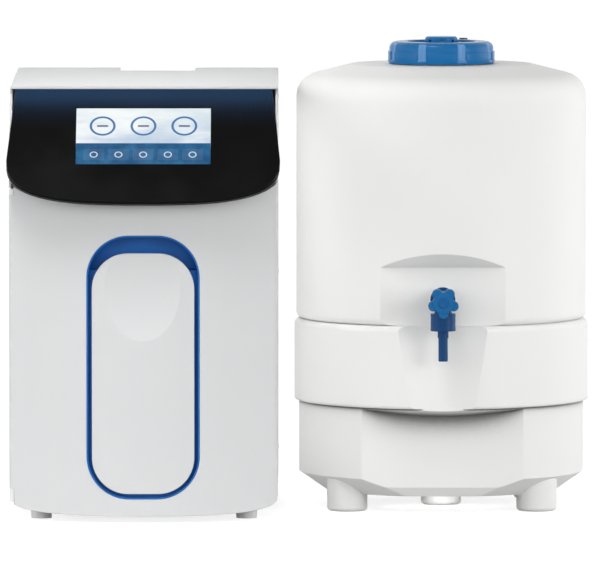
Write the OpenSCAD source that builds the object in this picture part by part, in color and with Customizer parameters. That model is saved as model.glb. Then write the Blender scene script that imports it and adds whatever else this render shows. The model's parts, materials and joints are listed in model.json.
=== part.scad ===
// Laboratory water purification system: a bench cabinet with a sloped touch panel
// and a round storage tank with a screw cap and a dispensing tap beside it.
// Millimetres, +X right, +Y back, +Z up, origin under the middle of the pair on the bench.

/* [Arrangement] */
// Clear space between the cabinet's head and the tank's band
unit_gap = 18; // [5:1:80]
// Distance of the tank's axis behind the middle of the pair
tank_y = 40; // [-20:1:60]

/* [Cabinet] */
// Width over the side panels
cab_w = 342; // [330:1:370]
// Height of the front edge of the top cover
cab_h = 550; // [535:1:580]
// Depth from the door hinge line to the rear face
cab_d = 450; // [440:1:500]
// Thickness of the side and rear panels
panel_t = 3; // [2:0.5:4]
// Thickness of the top cover
cover_t = 3; // [2:0.5:5]
// Rise of the top cover towards the rear, in degrees
cover_pitch = 1; // [0:0.25:2]
// Radius of the top cover's long edges
cover_edge_r = 2; // [1:0.25:2]
// Width of the tube notch in the rear edge of the top cover
notch_w = 98; // [60:1:140]
// Depth of the tube notch
notch_d = 62; // [30:1:90]
// Corner radius of the tube notch
notch_r = 10; // [4:1:15]
// Sideways offset of the tube notch
notch_x = 13; // [-30:1:30]
// Depth of the well under the tube notch
well_d = 16; // [10:1:20]
// Wall of the well
well_wall = 2; // [1.5:0.25:3]
// Height of the rubber feet
foot_h = 24; // [20:0.5:28]
// Radius of the rubber feet
foot_r = 15; // [10:1:20]
// Distance of the feet from the cabinet's sides and back
foot_inset = 40; // [25:1:60]
// Height of the side panels' lower edge
side_z0 = 30; // [28:0.5:34]
// Thickness of the base tray's floor
tray_t = 2; // [1.5:0.5:3]
// Height of the base tray's rim
tray_rim_h = 18; // [10:1:30]
// Clearance between panels that are fitted together
seat_gap = 0.2; // [0.1:0.05:0.3]

/* [Control head] */
// Slope of the touch panel above the horizontal, in degrees
slope = 45; // [40:1:50]
// Drop from the top cover's front edge to the glass's lower edge at the centre
head_drop = 139; // [130:1:150]
// How far the lower edge stands out past the door's bulge
lip_overhang = 28; // [20:1:32]
// How far the head is wider than the side panels, each side
head_overhang = 3; // [2:0.5:8]
// White rim round the glass
head_rim = 0.8; // [0.5:0.1:3]
// Depth of the head from the face of the glass to the back of its housing
head_t = 18; // [16:0.5:20]
// Thickness of the visor plate that carries the glass and closes onto the side panels
visor_t = 3; // [2:0.5:4]
// How far the box behind the visor plate is drawn in from its lower edge
box_in = 14; // [12:0.5:20]
// Gap between the box behind the visor plate and the side panels
box_gap = 2; // [1:0.25:4]
// Wall of the box behind the visor plate
box_wall = 4; // [3:0.5:6]
// Height of the rounded lower corners, along the slope
head_corner = 73.5; // [60:0.5:85]
// How much narrower the glass is at the top, each side
glass_taper = 9.5; // [5:0.5:14]
// Thickness of the glass
glass_t = 4; // [3:0.5:6]
// Width of the display
display_w = 171; // [150:1:190]
// Height of the display, along the slope
display_h = 95.5; // [80:0.5:105]
// Distance of the display from the glass's lower edge
display_v = 63.6; // [50:0.2:75]
// How deep the display's face lies below the glass's face
display_set = 0.4; // [0.2:0.1:1]
// Thickness of the display module
display_t = 14; // [12:0.5:16]
// Length of the pillars that carry the control board
board_gap = 6; // [4:0.5:12]
// Thickness of the control board
board_t = 1.6; // [1:0.2:2.4]
// How far the control board is drawn in from the display's edges
board_in = 8; // [4:0.5:12]
// Radius of the control board's pillars
pillar_r = 3; // [2:0.25:4]
// Distance of the pillars from the control board's edges
pillar_in = 6; // [5:0.5:10]

/* [Front door] */
// How far the door bulges in front of its hinge line
door_bulge = 40; // [34:1:48]
// Wall thickness of the door
door_wall = 4; // [3:0.5:5]
// Radius of the rounded side edges, where the hinge pins run
knuckle_r = 6; // [5.5:0.25:7]
// Gap between the door and what surrounds it
door_gap = 2.5; // [1.5:0.25:4]
// Gap between the door's upper edge and the visor plate
lip_gap = 1.5; // [1:0.25:4]
// Gap between the rounded side edge and the side panel
side_gap = 1; // [0.6:0.1:2]
// Height of the door's lower edge at the centre
door_z0 = 8; // [7:0.5:10]
// Height of the door's rounded lower corners
door_corner = 24; // [15:1:30]
// Height of the rounded side edges' upper end above the glass's lower edge
rod_rise = 4; // [-8:0.5:5]
// Width of the two bosses that meet the magnetic catches
strike_w = 10; // [6:0.5:12]
// Gap between a boss and its catch
strike_gap = 0.5; // [0.2:0.1:1]
// Radius of the hinge pins
pin_r = 3; // [2.5:0.25:3.5]
// Radial clearance of a running fit
run_fit = 0.06; // [0.03:0.01:0.1]
// Depth of the hinge bores in the door
pin_depth = 15; // [10:1:20]
// Height of the lower hinge lug above the tray's underside
lug_h = 17.5; // [16:0.5:18]
// Thickness of the upper hinge lug
bracket_t = 8; // [5:0.5:8]
// Length of the upper hinge bracket along the side panel
bracket_l = 34; // [25:1:50]
// Running gap at the ends of the hinge
end_gap = 0.3; // [0.2:0.05:0.5]
// Width of the magnetic catch
catch_w = 18; // [14:1:24]
// Depth of the magnetic catch
catch_d = 12; // [8:1:18]
// Height of the magnetic catch
catch_h = 30; // [20:1:40]
// Height of the lower catch
catch_z0 = 70; // [50:1:110]
// Depth of the upper catch's foot below the rounded side edges' upper end
catch_drop = 65; // [50:1:90]

/* [Grip] */
// Width of the opening in the door
grip_w = 144; // [130:1:160]
// Height of the opening's lower edge
grip_z0 = 30; // [26:1:50]
// Distance of the opening's upper edge below the door's upper edge
grip_drop = 38; // [30:1:60]
// Corner radius of the opening
grip_r = 54; // [40:1:60]
// Width of the blue channel round the grip panel
channel_w = 7; // [5:0.5:10]
// Height of the finger opening above the grip panel
finger_h = 23; // [18:1:30]
// Corner radius of the grip panel
panel_r = 46; // [35:1:55]
// Depth of the blue channel
channel_d = 12; // [9:0.5:15]
// Depth of the finger pocket
pocket_d = 26; // [22:1:32]
// How far the finger pocket reaches down behind the grip panel
pocket_reach = 22; // [15:1:28]
// Thickness of the grip panel in front of the finger pocket
grip_lip_t = 10; // [8:0.5:11]
// Wall thickness of the liner
liner_wall = 2; // [1.5:0.25:3]
// Width of the liner's glued flange
liner_flange = 7; // [4:0.5:10]
// Radius of the thumb dish
dish_r = 420; // [250:5:600]
// Depth of the thumb dish
dish_d = 5.5; // [3:0.5:7]
// Height of the thumb dish's centre below the grip panel's top
dish_drop = 44; // [38:1:60]

/* [Filter bay] */
// Distance of the mounting plate behind the hinge line
plate_y = 232; // [215:1:260]
// Thickness of the mounting plate
plate_t = 2; // [1.5:0.5:3]
// Drop from the top cover's front edge to the mounting plate's upper edge
plate_drop = 50; // [35:1:65]
// Width of the folds along the mounting plate's edges
plate_fold = 16; // [10:1:25]
// Gap between the mounting plate and the side panels
plate_gap = 4; // [2:0.5:10]
// Spacing of the filter cartridges
cart_pitch = 96; // [90:1:104]
// Radius of the filter cartridges
cart_r = 42; // [36:0.5:44]
// Length of the cartridge body
cart_l = 322; // [300:1:330]
// Radius of the cartridge neck
neck_pin_r = 14; // [10:0.5:18]
// Length of the cartridge neck
neck_pin_l = 30; // [20:1:34]
// Clearance of a cartridge in its seat
cart_fit = 0.4; // [0.3:0.05:0.8]
// Height of the cartridge cradle
cradle_h = 50; // [40:1:60]
// Depth of the cups in the cradle
cup_d = 12; // [8:1:20]
// Wall of the cradle round the cups
cradle_wall = 4; // [3:0.5:6]
// Height of the manifold block
manifold_h = 36; // [32:1:40]
// Height of the manifold's round bosses over its block
manifold_boss = 6; // [3:0.5:10]
// Rim on the cartridge, standing proud of its body
cart_rim = 2; // [1:0.25:2.5]
// Height of the cartridge's end caps
cart_cap_h = 34; // [20:1:50]

/* [Rear bay] */
// Radius of the pump motor
motor_r = 36; // [30:1:40]
// Length of the pump motor
motor_l = 92; // [70:1:110]
// Side of the square pump head
pump_side = 66; // [56:1:72]
// Length of the pump head
pump_l = 52; // [40:1:70]
// Height of the pump motor over the base tray
pump_z = 30; // [20:1:40]
// Sideways position of the pump motor's free end
pump_x0 = -130; // [-140:1:-110]
// Distance of the pump's axis behind the mounting plate
pump_back = 90; // [75:1:110]
// Distance of the pump bracket's ends from the pump's ends
pump_end = 8; // [4:1:15]
// Height of the pump's axis over the bracket's upper edge
pump_cheek = 12; // [8:1:18]
// Length of the pump bracket's feet
pump_leg = 16; // [10:1:25]
// Thickness of the pump bracket under the motor
pump_web = 8; // [4:0.5:12]
// Radius of the pump's two nozzles
nozzle_r = 9; // [6:0.5:12]
// Length of the pump's two nozzles
nozzle_l = 16; // [10:1:24]
// Radius of the ultraviolet reactor tube
uv_r = 26; // [20:1:30]
// Length of the ultraviolet reactor tube
uv_l = 300; // [250:1:340]
// Height of the ultraviolet reactor's lower end
uv_z0 = 90; // [60:1:120]
// Sideways position of the ultraviolet reactor
uv_x = 112; // [100:1:125]
// Gap between the ultraviolet reactor and the mounting plate
uv_gap = 8; // [5:0.5:15]
// Length of the reactor's end caps
uv_cap_l = 14; // [8:1:20]
// How much smaller the reactor's end caps are, all round
uv_cap_in = 6; // [3:0.5:10]
// Thickness of the reactor's clips
clip_t = 3; // [2:0.25:5]
// Height of the reactor's clips
clip_h = 18; // [10:1:25]
// Power supply width, depth and height
supply = [140, 58, 96]; // [50:1:150]
// Power supply position, left edge and lower edge
supply_at = [-150, 260]; // [-160:1:280]
// Side of the valve coils
coil_side = 32; // [26:1:40]
// Height of the valve coils
coil_h = 40; // [30:1:50]
// Spacing of the two valves
valve_pitch = 46; // [44:1:60]
// Height of the valves
valve_z = 400; // [380:1:440]
// Sideways position of the first valve
valve_x = -20; // [-40:1:0]
// Radius of the valves' pipe under the coil
valve_pipe_r = 9; // [6:0.5:12]
// Length of the valves' pipe past the coil, each side
valve_pipe_l = 4; // [2:0.5:6]
// Depth of the pipe's axis below the coil
valve_pipe_z = 13; // [11:0.5:18]
// Radius of the neck between the coil and the pipe
valve_neck_r = 7; // [5:0.5:8]

/* [Rear connections] */
// Radius of the tube that a port takes
tube_r = 4.75; // [3:0.05:5]
// Clearance of the tube in the port
tube_fit = 0.1; // [0.05:0.01:0.2]
// Depth of the port's tube bore
port_bore_l = 18; // [14:1:22]
// Length of a port outside its panel
port_l = 22; // [20:1:28]
// Radius of a port
port_r = 9; // [8:0.5:10]
// Radius of the part of a port that passes through the wall
port_shank_r = 7.5; // [6.5:0.25:8]
// Radius of a port's nut and flange
port_nut_r = 13; // [11:0.5:15]
// Thickness of a port's nut and flange
port_nut_t = 6; // [4:0.5:8]
// Height of a port's retaining ring outside its mouth
mouth_ring_t = 3; // [2:0.5:4]
// Depth of the retaining ring in the port
mouth_ring_d = 4; // [3:0.5:6]
// Wall of the retaining ring
mouth_ring_wall = 1.6; // [1:0.1:2]
// Wall between a port's tube stop and its water passage
port_step = 1.5; // [1:0.25:2]
// Length of a port's thread past its nut
port_thread = 3; // [2:0.5:5]
// Sideways positions of the four ports
port_x = [-135, -95, -55, -15]; // [-150:1:0]
// Height of the four ports
port_z = 330; // [300:1:380]
// Power inlet width and height
inlet_size = [48, 28]; // [26:1:52]
// How much smaller the inlet's body is than its flange
inlet_step = [8, 4]; // [4:1:10]
// Thickness of the inlet's flange
inlet_flange = 3; // [2:0.25:4]
// Thickness of the inlet's floor
inlet_floor = 5; // [3:0.5:6]
// Depth of the inlet's socket
inlet_d = 18; // [16:1:22]
// Width and height of the inlet's socket
socket_size = [24.5, 16.8]; // [16:0.1:26]
// Length of the inlet's contact pins
contact_l = 11; // [9:0.5:12]
// Sideways spacing of the inlet's contact pins
contact_pitch = 7; // [6:0.5:8]
// Height of the middle contact pin over the outer two
contact_rise = 4; // [3:0.5:5]
// Width and height of a contact pin
contact_size = [2, 4]; // [1:0.5:5]
// Inlet's position on the rear panel
inlet_at = [105, 60]; // [50:1:120]
// Switch bezel width and height
bezel_size = [24, 32]; // [22:1:36]
// How much smaller the bezel's body is than its flange
bezel_step = 4; // [2:0.5:6]
// Thickness of the bezel's flange
bezel_flange = 2; // [1.5:0.25:3]
// Depth of the bezel behind the rear panel's face
bezel_d = 16; // [14:0.5:20]
// Thickness of the bezel's floor
bezel_floor = 2; // [1:0.25:3]
// Switch's position on the rear panel
switch_at = [105, 110]; // [90:1:125]
// Rocker width and height
rocker_size = [14, 22]; // [12:0.5:24]
// Gap round the rocker
rocker_gap = 0.6; // [0.4:0.1:1]
// Depth of the rocker's pivot behind the rear panel's face
rocker_set = 4; // [3:0.5:6]
// How far the rocker's pivot reaches into each side of the bezel
rocker_pin_l = 2; // [1:0.25:2]
// Depth of the rocker below its pivot, and its height over it at the waist
rocker_rise = [4, 6.5]; // [3:0.5:8]
// How far the rocker's raised ends stand over its waist
rocker_horn = 2; // [1:0.25:3]
// Tilt of the rocker to each side, in degrees
rocker_tilt = 8; // [5:0.5:10]
// Radius of the rocker's pivot
rocker_pin_r = 2; // [1.5:0.1:2.5]
// Number of cooling slots
vent_count = 9; // [5:1:11]
// Pitch of the cooling slots
vent_pitch = 9; // [7:0.5:10]
// Width of a cooling slot
vent_w = 3.5; // [2.5:0.5:4]
// Length of a cooling slot
vent_l = 76; // [50:1:90]
// Centre of the cooling slots on the rear panel
vent_at = [85, 430]; // [60:1:440]

/* [Tank base] */
// How far the wide band stands out past the tank body
band_step = 2.5; // [1.5:0.25:8]
// Height of the band's lower edge
band_z0 = 137; // [125:1:150]
// Height of the band's upper face, where the tank body stands
band_z1 = 243; // [232:1:250]
// Rounding of the band's upper edge
band_round = 8; // [4:0.5:10]
// Rounding of the band's lower edge
band_lower_round = 4; // [1:0.5:5]
// How far the base below the band is set in from the band
base_step = 6; // [3:0.5:10]
// Height of the base's underside
base_z0 = 22; // [18:1:30]
// Width and height of the chamfer round the base's underside
base_chamfer = [33, 23]; // [15:1:36]
// Wall of the base
base_wall = 5; // [4:0.5:7]
// Depth of the flat front below the base's round side
flat_d = 32; // [28:0.5:36]
// Slope of the band's underside over the flat front, in degrees
eave = 17; // [10:1:22]
// Width and height of the chamfer under the flat front
flat_chamfer = [8, 12]; // [5:0.5:16]
// Clearance round the tank body's dished bottom in the base's deck
deck_gap = 2; // [1:0.25:4]
// Radius of the scoop in the band under the tap
scoop_r = 150; // [130:1:180]
// Depth of the scoop at the band's upper face
scoop_top_d = 20; // [16:0.5:21]
// Depth of the scoop at the band's lower edge
scoop_low_d = 9; // [6:0.5:18]
// Radius of the tank's feet
tank_foot_r = 26; // [20:1:28]
// Rounding of the feet's lower edge
tank_foot_round = 5; // [1:0.5:8]
// Distance of the outer feet's axes from the base's round side
tank_foot_in = 29.4; // [28:0.2:40]
// Angle of the four outer feet from the sides, in degrees
tank_foot_turn = 38; // [30:1:50]

/* [Tank body] */
// Outside radius of the tank body
barrel_r = 187.5; // [184:0.5:188.5]
// Wall of the tank body
barrel_wall = 4; // [3:0.25:5]
// Height where the shoulder starts to round in
shoulder_z = 529; // [500:1:560]
// Radius of the shoulder
shoulder_r = 32; // [25:1:40]
// Slope of the crown inside the shoulder, in degrees
crown_slope = 14; // [10:1:18]
// Radius of the flat crown round the neck
crown_r = 118; // [112:1:124]
// Radius of the body's lower edge
heel_r = 9; // [6:0.5:11]
// Width of the flat ring that the tank body stands on
dish_rim = 37.5; // [37:0.5:45]
// Drop of the dished bottom
dish_drop_z = 35; // [20:1:45]
// Radius of the flat at the middle of the bottom
sump_r = 25; // [15:1:40]
// Depth of the tap bay's flat below the tank body's round side
bay_d = 18; // [15:0.5:20]
// Height of the tap bay's flat under its brow
bay_z1 = 318; // [300:1:325]

/* [Neck and lid] */
// Outside radius of the neck
neck_r = 58; // [54:0.5:60]
// Wall of the neck
neck_wall = 6; // [5:0.5:7]
// Height of the neck above the crown
neck_h = 17; // [16:1:26]
// Width of the neck's flange under the crown
neck_flange = 8; // [4:0.5:12]
// Thickness of the neck's flange
neck_flange_t = 3; // [2:0.25:4]
// Thickness of the neck gasket
gasket_t = 2; // [1.5:0.25:3]
// How much wider the gasket's hole is than the neck's bore, all round
gasket_in = 1; // [0.5:0.25:2]
// Thickness of the lid's flange
lid_flange_t = 3; // [2:0.25:4]
// Radius of the lid's raised middle
lid_top_r = 44; // [38:0.5:47]
// Height of the lid's raised middle over its flange
lid_rise = 4.7; // [3.5:0.1:5]
// Radial clearance between the screw ring and the neck
ring_fit = 0.4; // [0.3:0.05:0.8]
// Wall of the screw ring
ring_wall = 9; // [7:0.5:11]
// Width of the grip flange round the screw ring
ring_flange = 3.6; // [2:0.2:5]
// Height of the grip flange
ring_flange_h = 15; // [10:1:18]
// Thickness of the screw ring's top
ring_top_t = 4.5; // [3.5:0.25:5.5]
// Rounding of the screw ring's upper edge
ring_round = 12; // [6:0.5:13]
// Gap under the screw ring
ring_gap = 1.5; // [1:0.25:3]
// Radius of the vent cap
vent_cap_r = 21; // [16:0.5:24]
// Height of the vent cap
vent_cap_h = 8.5; // [7:0.25:12]
// Wall of the vent cap
vent_cap_wall = 2; // [1.5:0.25:3]
// Chamfer of the vent cap's upper edge
vent_cap_edge = 2; // [1:0.25:3]
// Gap between the vent filter and the vent cap
vent_gap = 2.5; // [1:0.25:4]
// Number of breathing holes round the vent cap
vent_holes = 8; // [4:1:12]
// Radius of a breathing hole
vent_hole_in_cap_r = 1.6; // [1:0.1:2]
// Height of the breathing holes over the lid
vent_hole_z = 3; // [2.5:0.25:4]
// Radius of the breathing hole through the lid
vent_hole_r = 8; // [5:0.5:10]

/* [Level sensor] */
// Position of the level sensor on the crown, from the tank's axis
sensor_at = [30, 99]; // [20:1:102]
// Radius of the sensor's gland nut
gland_r = 8; // [7:0.5:9]
// Height of the gland over the crown
gland_h = 29; // [24:1:38]
// Radius of the gland's neck through the crown
gland_neck_r = 6; // [5:0.25:6.5]
// Radius of the sensor rod
sensor_rod_r = 4; // [3:0.25:4.5]
// Height of the lower end of the sensor rod
sensor_rod_z0 = 256; // [252:1:275]
// Radius of the float
float_r = 20; // [16:0.5:24]
// Height of the float
float_h = 26; // [18:1:34]
// Height of the stop collars on the rod
stop_h = 5; // [3:0.5:8]
// Travel of the float
float_travel = 236; // [150:1:236]
// Radial clearance of the float on the rod
float_fit = 0.35; // [0.3:0.05:0.6]

/* [Tap] */
// Height of the tap's axis
tap_z = 277; // [270:0.5:282]
// Radius of the tap's threaded shank
tap_shank_r = 9; // [8:0.25:10]
// Radius of the tap's gasket and flange
tap_flange_r = 16; // [14:0.5:17]
// Thickness of the tap's gasket
tap_gasket_t = 2.5; // [1.5:0.25:3]
// Thickness of the tap's flange
tap_flange_t = 4.5; // [3:0.25:6]
// Distance of the spout's axis in front of the bay's flat
spout_reach = 31; // [29:0.5:36]
// Radius of the tap's barrel
tap_barrel_r = 12.5; // [12:0.25:14]
// Length of the tap's barrel in front of the spout's axis
tap_nose = 12; // [11:0.5:16]
// Radius of the valve chamber
chamber_r = 8.5; // [7.5:0.25:9]
// Radius of the water passage
passage_r = 4.5; // [3.5:0.25:5]
// Radius of the valve disc
valve_r = 7; // [6:0.25:7.5]
// Thickness of the valve disc
valve_t = 4; // [3:0.25:5]
// Radius of the stem
stem_r = 4; // [3:0.25:4.5]
// Length of the bonnet in front of the barrel
bonnet_l = 9; // [8:0.5:14]
// Radius of the bonnet
bonnet_r = 11; // [10:0.25:12]
// Space between the bonnet and the knob
knob_gap = 2; // [1.2:0.1:4]
// Length of the knob
knob_l = 15; // [12:0.5:20]
// Radius of the knob to the tips of its lobes
knob_r = 20; // [18:0.5:24]
// Radius of a lobe
lobe_r = 6.5; // [5.5:0.25:7]
// Number of lobes
lobe_count = 5; // [4:1:6]
// Angle of the first lobe, in degrees
lobe_turn = 18; // [0:1:60]
// Thickness of the lock nut inside the tank
tap_nut_t = 8; // [6:0.5:10]
// Radius of the lock nut
tap_nut_r = 16; // [13:0.5:17]
// Radius of the spout's union nut
spout_nut_r = 16; // [15:0.5:17]
// Height of the spout's union nut
spout_nut_h = 22; // [20:0.5:26]
// Depth of the union nut's upper edge below the tap's axis
spout_nut_drop = 16; // [15:0.5:18]
// Length of the spout below its union nut
spout_l = 39; // [30:0.5:45]
// Outside radius of the spout's hose end
spout_r = 6; // [5.5:0.25:6.5]
// Length of the spout's hose end
hose_end_l = 30; // [24:1:34]
// Outside radius of the spout above its hose end
spout_root_r = 7; // [6.75:0.25:8]
// Wall of the spout
spout_wall = 2; // [1.5:0.25:2]
// Height of the tank's ports, from the outlet upwards
tank_port_z = [272, 440, 500]; // [265:1:510]

/* [Hidden] */
$fn = 96;
eps = 0.01;
far = 400;

half_w = cab_w / 2;
head_half = half_w + head_overhang;
glass_half = head_half - head_rim;
lip_z = cab_h - head_drop;
lip_y = -(door_bulge + lip_overhang);
glass_v1 = (head_drop - cover_t - seat_gap) / sin(slope);
cover_y0 = lip_y + glass_v1 * cos(slope);
side_y0 = knuckle_r + side_gap;
inner_half = half_w - panel_t;
tray_half = inner_half - seat_gap;
tray_top = foot_h + tray_t;
tray_y1 = cab_d - panel_t - seat_gap;
visor_n = glass_t + visor_t;
head_back = visor_n / cos(slope);

// Plan of the door: the bulged wall runs into the rounded side edges just below its surface.
hinge_x = half_w - knuckle_r;
blend = 0.1;
edge_r = knuckle_r + blend;
door_r = (pow(hinge_x, 2) + pow(door_bulge, 2) - pow(edge_r, 2)) / (2 * (door_bulge - edge_r));
door_cy = door_r - door_bulge;
door_span = atan(hinge_x / door_cy);
lug_top = foot_h + lug_h;
rod_z0 = lug_top + end_gap;
rod_z1 = lip_z + rod_rise;
catch_z = [catch_z0, rod_z1 - catch_drop];
pin_end = 1;
bracket_z0 = rod_z1 + end_gap;
bracket_z1 = bracket_z0 + bracket_t;
lug_clear = 0.6;
lug_tab = 4;
foot_taper = 2;
apron_half = hinge_x - 2 * knuckle_r;
grip_half = grip_w / 2;
door_top = lip_z - head_rim * sin(slope) - visor_n * cos(slope) - lip_gap;
grip_z1 = door_top - grip_drop;
panel_z1 = grip_z1 - finger_h;
pocket_z0 = panel_z1 - pocket_reach;
glue_gap = 0.1;

// Filter bay heights: cradle on the tray, cartridges in its cups, manifold over them.
cart_z0 = tray_top + cradle_h - cup_d;
manifold_z0 = cart_z0 + cart_l + seat_gap;
cart_y = plate_y - cart_r - cradle_wall - cart_fit;
plate_back = plate_y + plate_t;
plate_z1 = cab_h - plate_drop;
neck_end = 1;

// Rear bay: pump on the tray, reactor on the back of the mounting plate, rocker in its bezel.
pump_mid_y = plate_back + pump_back;
pump_axis_z = tray_top + pump_z + motor_r;
uv_y = plate_back + uv_r + uv_gap;
rocker_y = -rocker_set;
inlet_body = inlet_size - inlet_step;
bezel_body = bezel_size - [bezel_step, bezel_step];
mouth_gap = 1;

// Plan of the storage tank, measured from the tank body's round side.
band_r = barrel_r + band_step;
base_r = band_r - base_step;
flat_y = base_r - flat_d;
dish_rim_r = barrel_r - dish_rim;
deck_hole_r = dish_rim_r + deck_gap;
bay_y = barrel_r - bay_d;
// Space that a nut needs to lie flat against the curved inside wall.
port_wall = barrel_r - sqrt(pow(barrel_r - barrel_wall, 2) - pow(port_nut_r, 2));

// Storage tank heights, upwards from the body's bottom.
crown_z = shoulder_z + shoulder_r * cos(crown_slope)
    + (barrel_r - shoulder_r + shoulder_r * sin(crown_slope) - crown_r) * tan(crown_slope);
neck_z1 = crown_z + neck_h;
lid_z0 = neck_z1 + gasket_t;
lid_z1 = lid_z0 + lid_flange_t;
ring_bore_r = neck_r + ring_fit;
ring_r = ring_bore_r + ring_wall;
ring_z0 = crown_z + ring_gap;
ring_ceiling = lid_z1 + seat_gap;
lid_top = lid_z1 + lid_rise;
neck_z0 = crown_z - barrel_wall - neck_flange_t;
stop_w = 3;
float_z0 = sensor_rod_z0 + stop_h;
gland_hex = [2, 8];
gland_step = 1.25;
gland_tip = 3;
gland_roof = 12;

// Tap stations, forwards from the bay's flat.
spout_y = -bay_y - spout_reach;
tap_face_y = -bay_y - tap_gasket_t;
chamber_past = 1;
chamber_y1 = spout_y + passage_r + chamber_past;
nose_y = spout_y - tap_nose;
bonnet_y = nose_y - bonnet_l;
knob_y1 = bonnet_y - knob_gap;
knob_y0 = knob_y1 - knob_l;
bonnet_plug = 3;
tap_thread = 6;
knob_face = 4;
lobe_set = 1;
spout_nut_floor = 6;
spout_flange_t = 4;
spout_stub_r = spout_nut_r - 5;
spout_z1 = tap_z - spout_nut_drop - spout_nut_h;

// Ends of the pair, and where its two units stand.
port_reach = port_l + mouth_ring_t;
back_y = cab_d + port_reach;
cab_y = -(lip_y + back_y) / 2;
pair_w = 2 * head_half + unit_gap + 2 * band_r;
cab_x = -pair_w / 2 + head_half;
tank_x = pair_w / 2 - band_r;

casing = "#e9ebec";
polythene = "#f2f2ef";
trim_blue = "#17549a";
cap_blue = "#1470b4";
tap_blue = "#1560b0";
black_glass = "#16181c";
sheet_steel = "#b9bdc2";
dark_plastic = "#2a2c30";
rubber_grey = "#8d9196";

// Rise of a superellipse of the third degree from its lowest point (0) to its widest (1).
function corner_rise(f) = 1 - pow(max(0, 1 - pow(abs(f), 3)), 1 / 3);

// Height of the side panels' sloped edge, which the visor plate closes onto.
function slope_back_z(y) = lip_z + (y - lip_y) * tan(slope) - head_back;

// Height of the top cover's underside.
function cover_z(y) = cab_h - cover_t + (y - cover_y0) * tan(cover_pitch);

// Outline in the plane of the glass: rounded lower corners, sides that draw in towards the top.
function head_points(half, top_half, v0, v1, steps = 20) = concat(
    [for (i = [-steps:steps])
        let (f = sin(90 * i / steps))
        [half * f, v0 + (head_corner - v0) * corner_rise(f)]],
    [[top_half, v1], [-top_half, v1]]
);

// Front outline of the door: its upper edge follows the visor's, its lower corners are rounded.
function door_points(steps = 20) = concat(
    [for (i = [-steps:steps])
        let (f = sin(90 * i / steps))
        [half_w * f, door_z0 + door_corner * corner_rise(f)]],
    [for (i = [steps:-1:-steps])
        let (x = half_w * sin(90 * i / steps))
        let (v = (head_corner + head_rim) * corner_rise(x / (head_half + door_gap)))
        [x, door_top + v * sin(slope)]]
);

module at_cabinet() {
    translate([cab_x, cab_y, 0]) children();
}

module at_tank() {
    translate([tank_x, tank_y, 0]) children();
}

module on_slope() {
    translate([0, lip_y, lip_z]) rotate([slope, 0, 0]) children();
}

// Flat outline in X and Z, carried from y0 back to y1.
module along_y(y0, y1) {
    translate([0, y1, 0]) rotate([90, 0, 0]) linear_extrude(y1 - y0) children();
}

// Flat outline in Y and Z, carried from x0 to x1.
module along_x(x0, x1) {
    translate([x0, 0, 0]) rotate([90, 0, 90]) linear_extrude(x1 - x0) children();
}

// Round bar along Y.
module bar_y(r, y0, y1) {
    translate([0, y0, 0]) rotate([-90, 0, 0]) cylinder(r = r, h = y1 - y0);
}

// Round bar along X.
module bar_x(r, x0, x1) {
    translate([x0, 0, 0]) rotate([0, 90, 0]) cylinder(r = r, h = x1 - x0);
}

// Block given by its low and high corners.
module block(low, high) {
    translate(low) cube(high - low);
}

// Upright rectangle with four round corners, its foot at z0.
module round_rect(half, z0, z1, r) {
    translate([-half + r, z0]) square([2 * (half - r), z1 - z0]);
    translate([-half, z0 + r]) square([2 * half, z1 - z0 - 2 * r]);
    for (sx = [-1, 1]) {
        for (z = [z0 + r, z1 - r]) {
            translate([sx * (half - r), z]) circle(r);
        }
    }
}

// Cabinet casing

module base_tray() {
    color(sheet_steel) at_cabinet() {
        difference() {
            union() {
                difference() {
                    block([-tray_half, side_y0, foot_h], [tray_half, tray_y1, foot_h + tray_rim_h]);
                    block([-tray_half + tray_t, side_y0 + tray_t, tray_top],
                          [tray_half - tray_t, tray_y1 - tray_t, far]);
                }
                translate([-hinge_x, 0, foot_h]) cylinder(r = knuckle_r, h = lug_h);
                block([-tray_half, 0, foot_h], [-hinge_x + lug_tab, side_y0 + eps, lug_top]);
                intersection() {
                    translate([0, door_cy, foot_h]) cylinder(r = door_r - door_wall - door_gap, h = tray_t);
                    block([-apron_half, -door_bulge, foot_h], [apron_half, side_y0 + eps, tray_top]);
                }
            }
            translate([-hinge_x, 0, foot_h - eps]) cylinder(r = pin_r + run_fit, h = lug_h + 1);
        }
    }
}

module cabinet_feet() {
    color(rubber_grey) at_cabinet() {
        for (sx = [-1, 1]) {
            for (y = [foot_inset, cab_d - foot_inset]) {
                translate([sx * (half_w - foot_inset), y, 0]) {
                    cylinder(r1 = foot_r - foot_taper, r2 = foot_r, h = foot_h);
                }
            }
        }
    }
}

module side_panel(x0) {
    meet_y = (cab_h - cover_t - cover_y0 * tan(cover_pitch) - lip_z + lip_y * tan(slope) + head_back)
        / (tan(slope) - tan(cover_pitch));
    along_x(x0, x0 + panel_t) polygon([
        [side_y0, side_z0],
        [cab_d, side_z0],
        [cab_d, cover_z(cab_d)],
        [meet_y, cover_z(meet_y)],
        [side_y0, slope_back_z(side_y0)]
    ]);
}

module left_side_panel() {
    color(casing) at_cabinet() side_panel(-half_w);
}

module right_side_panel() {
    color(casing) at_cabinet() side_panel(inner_half);
}

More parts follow.
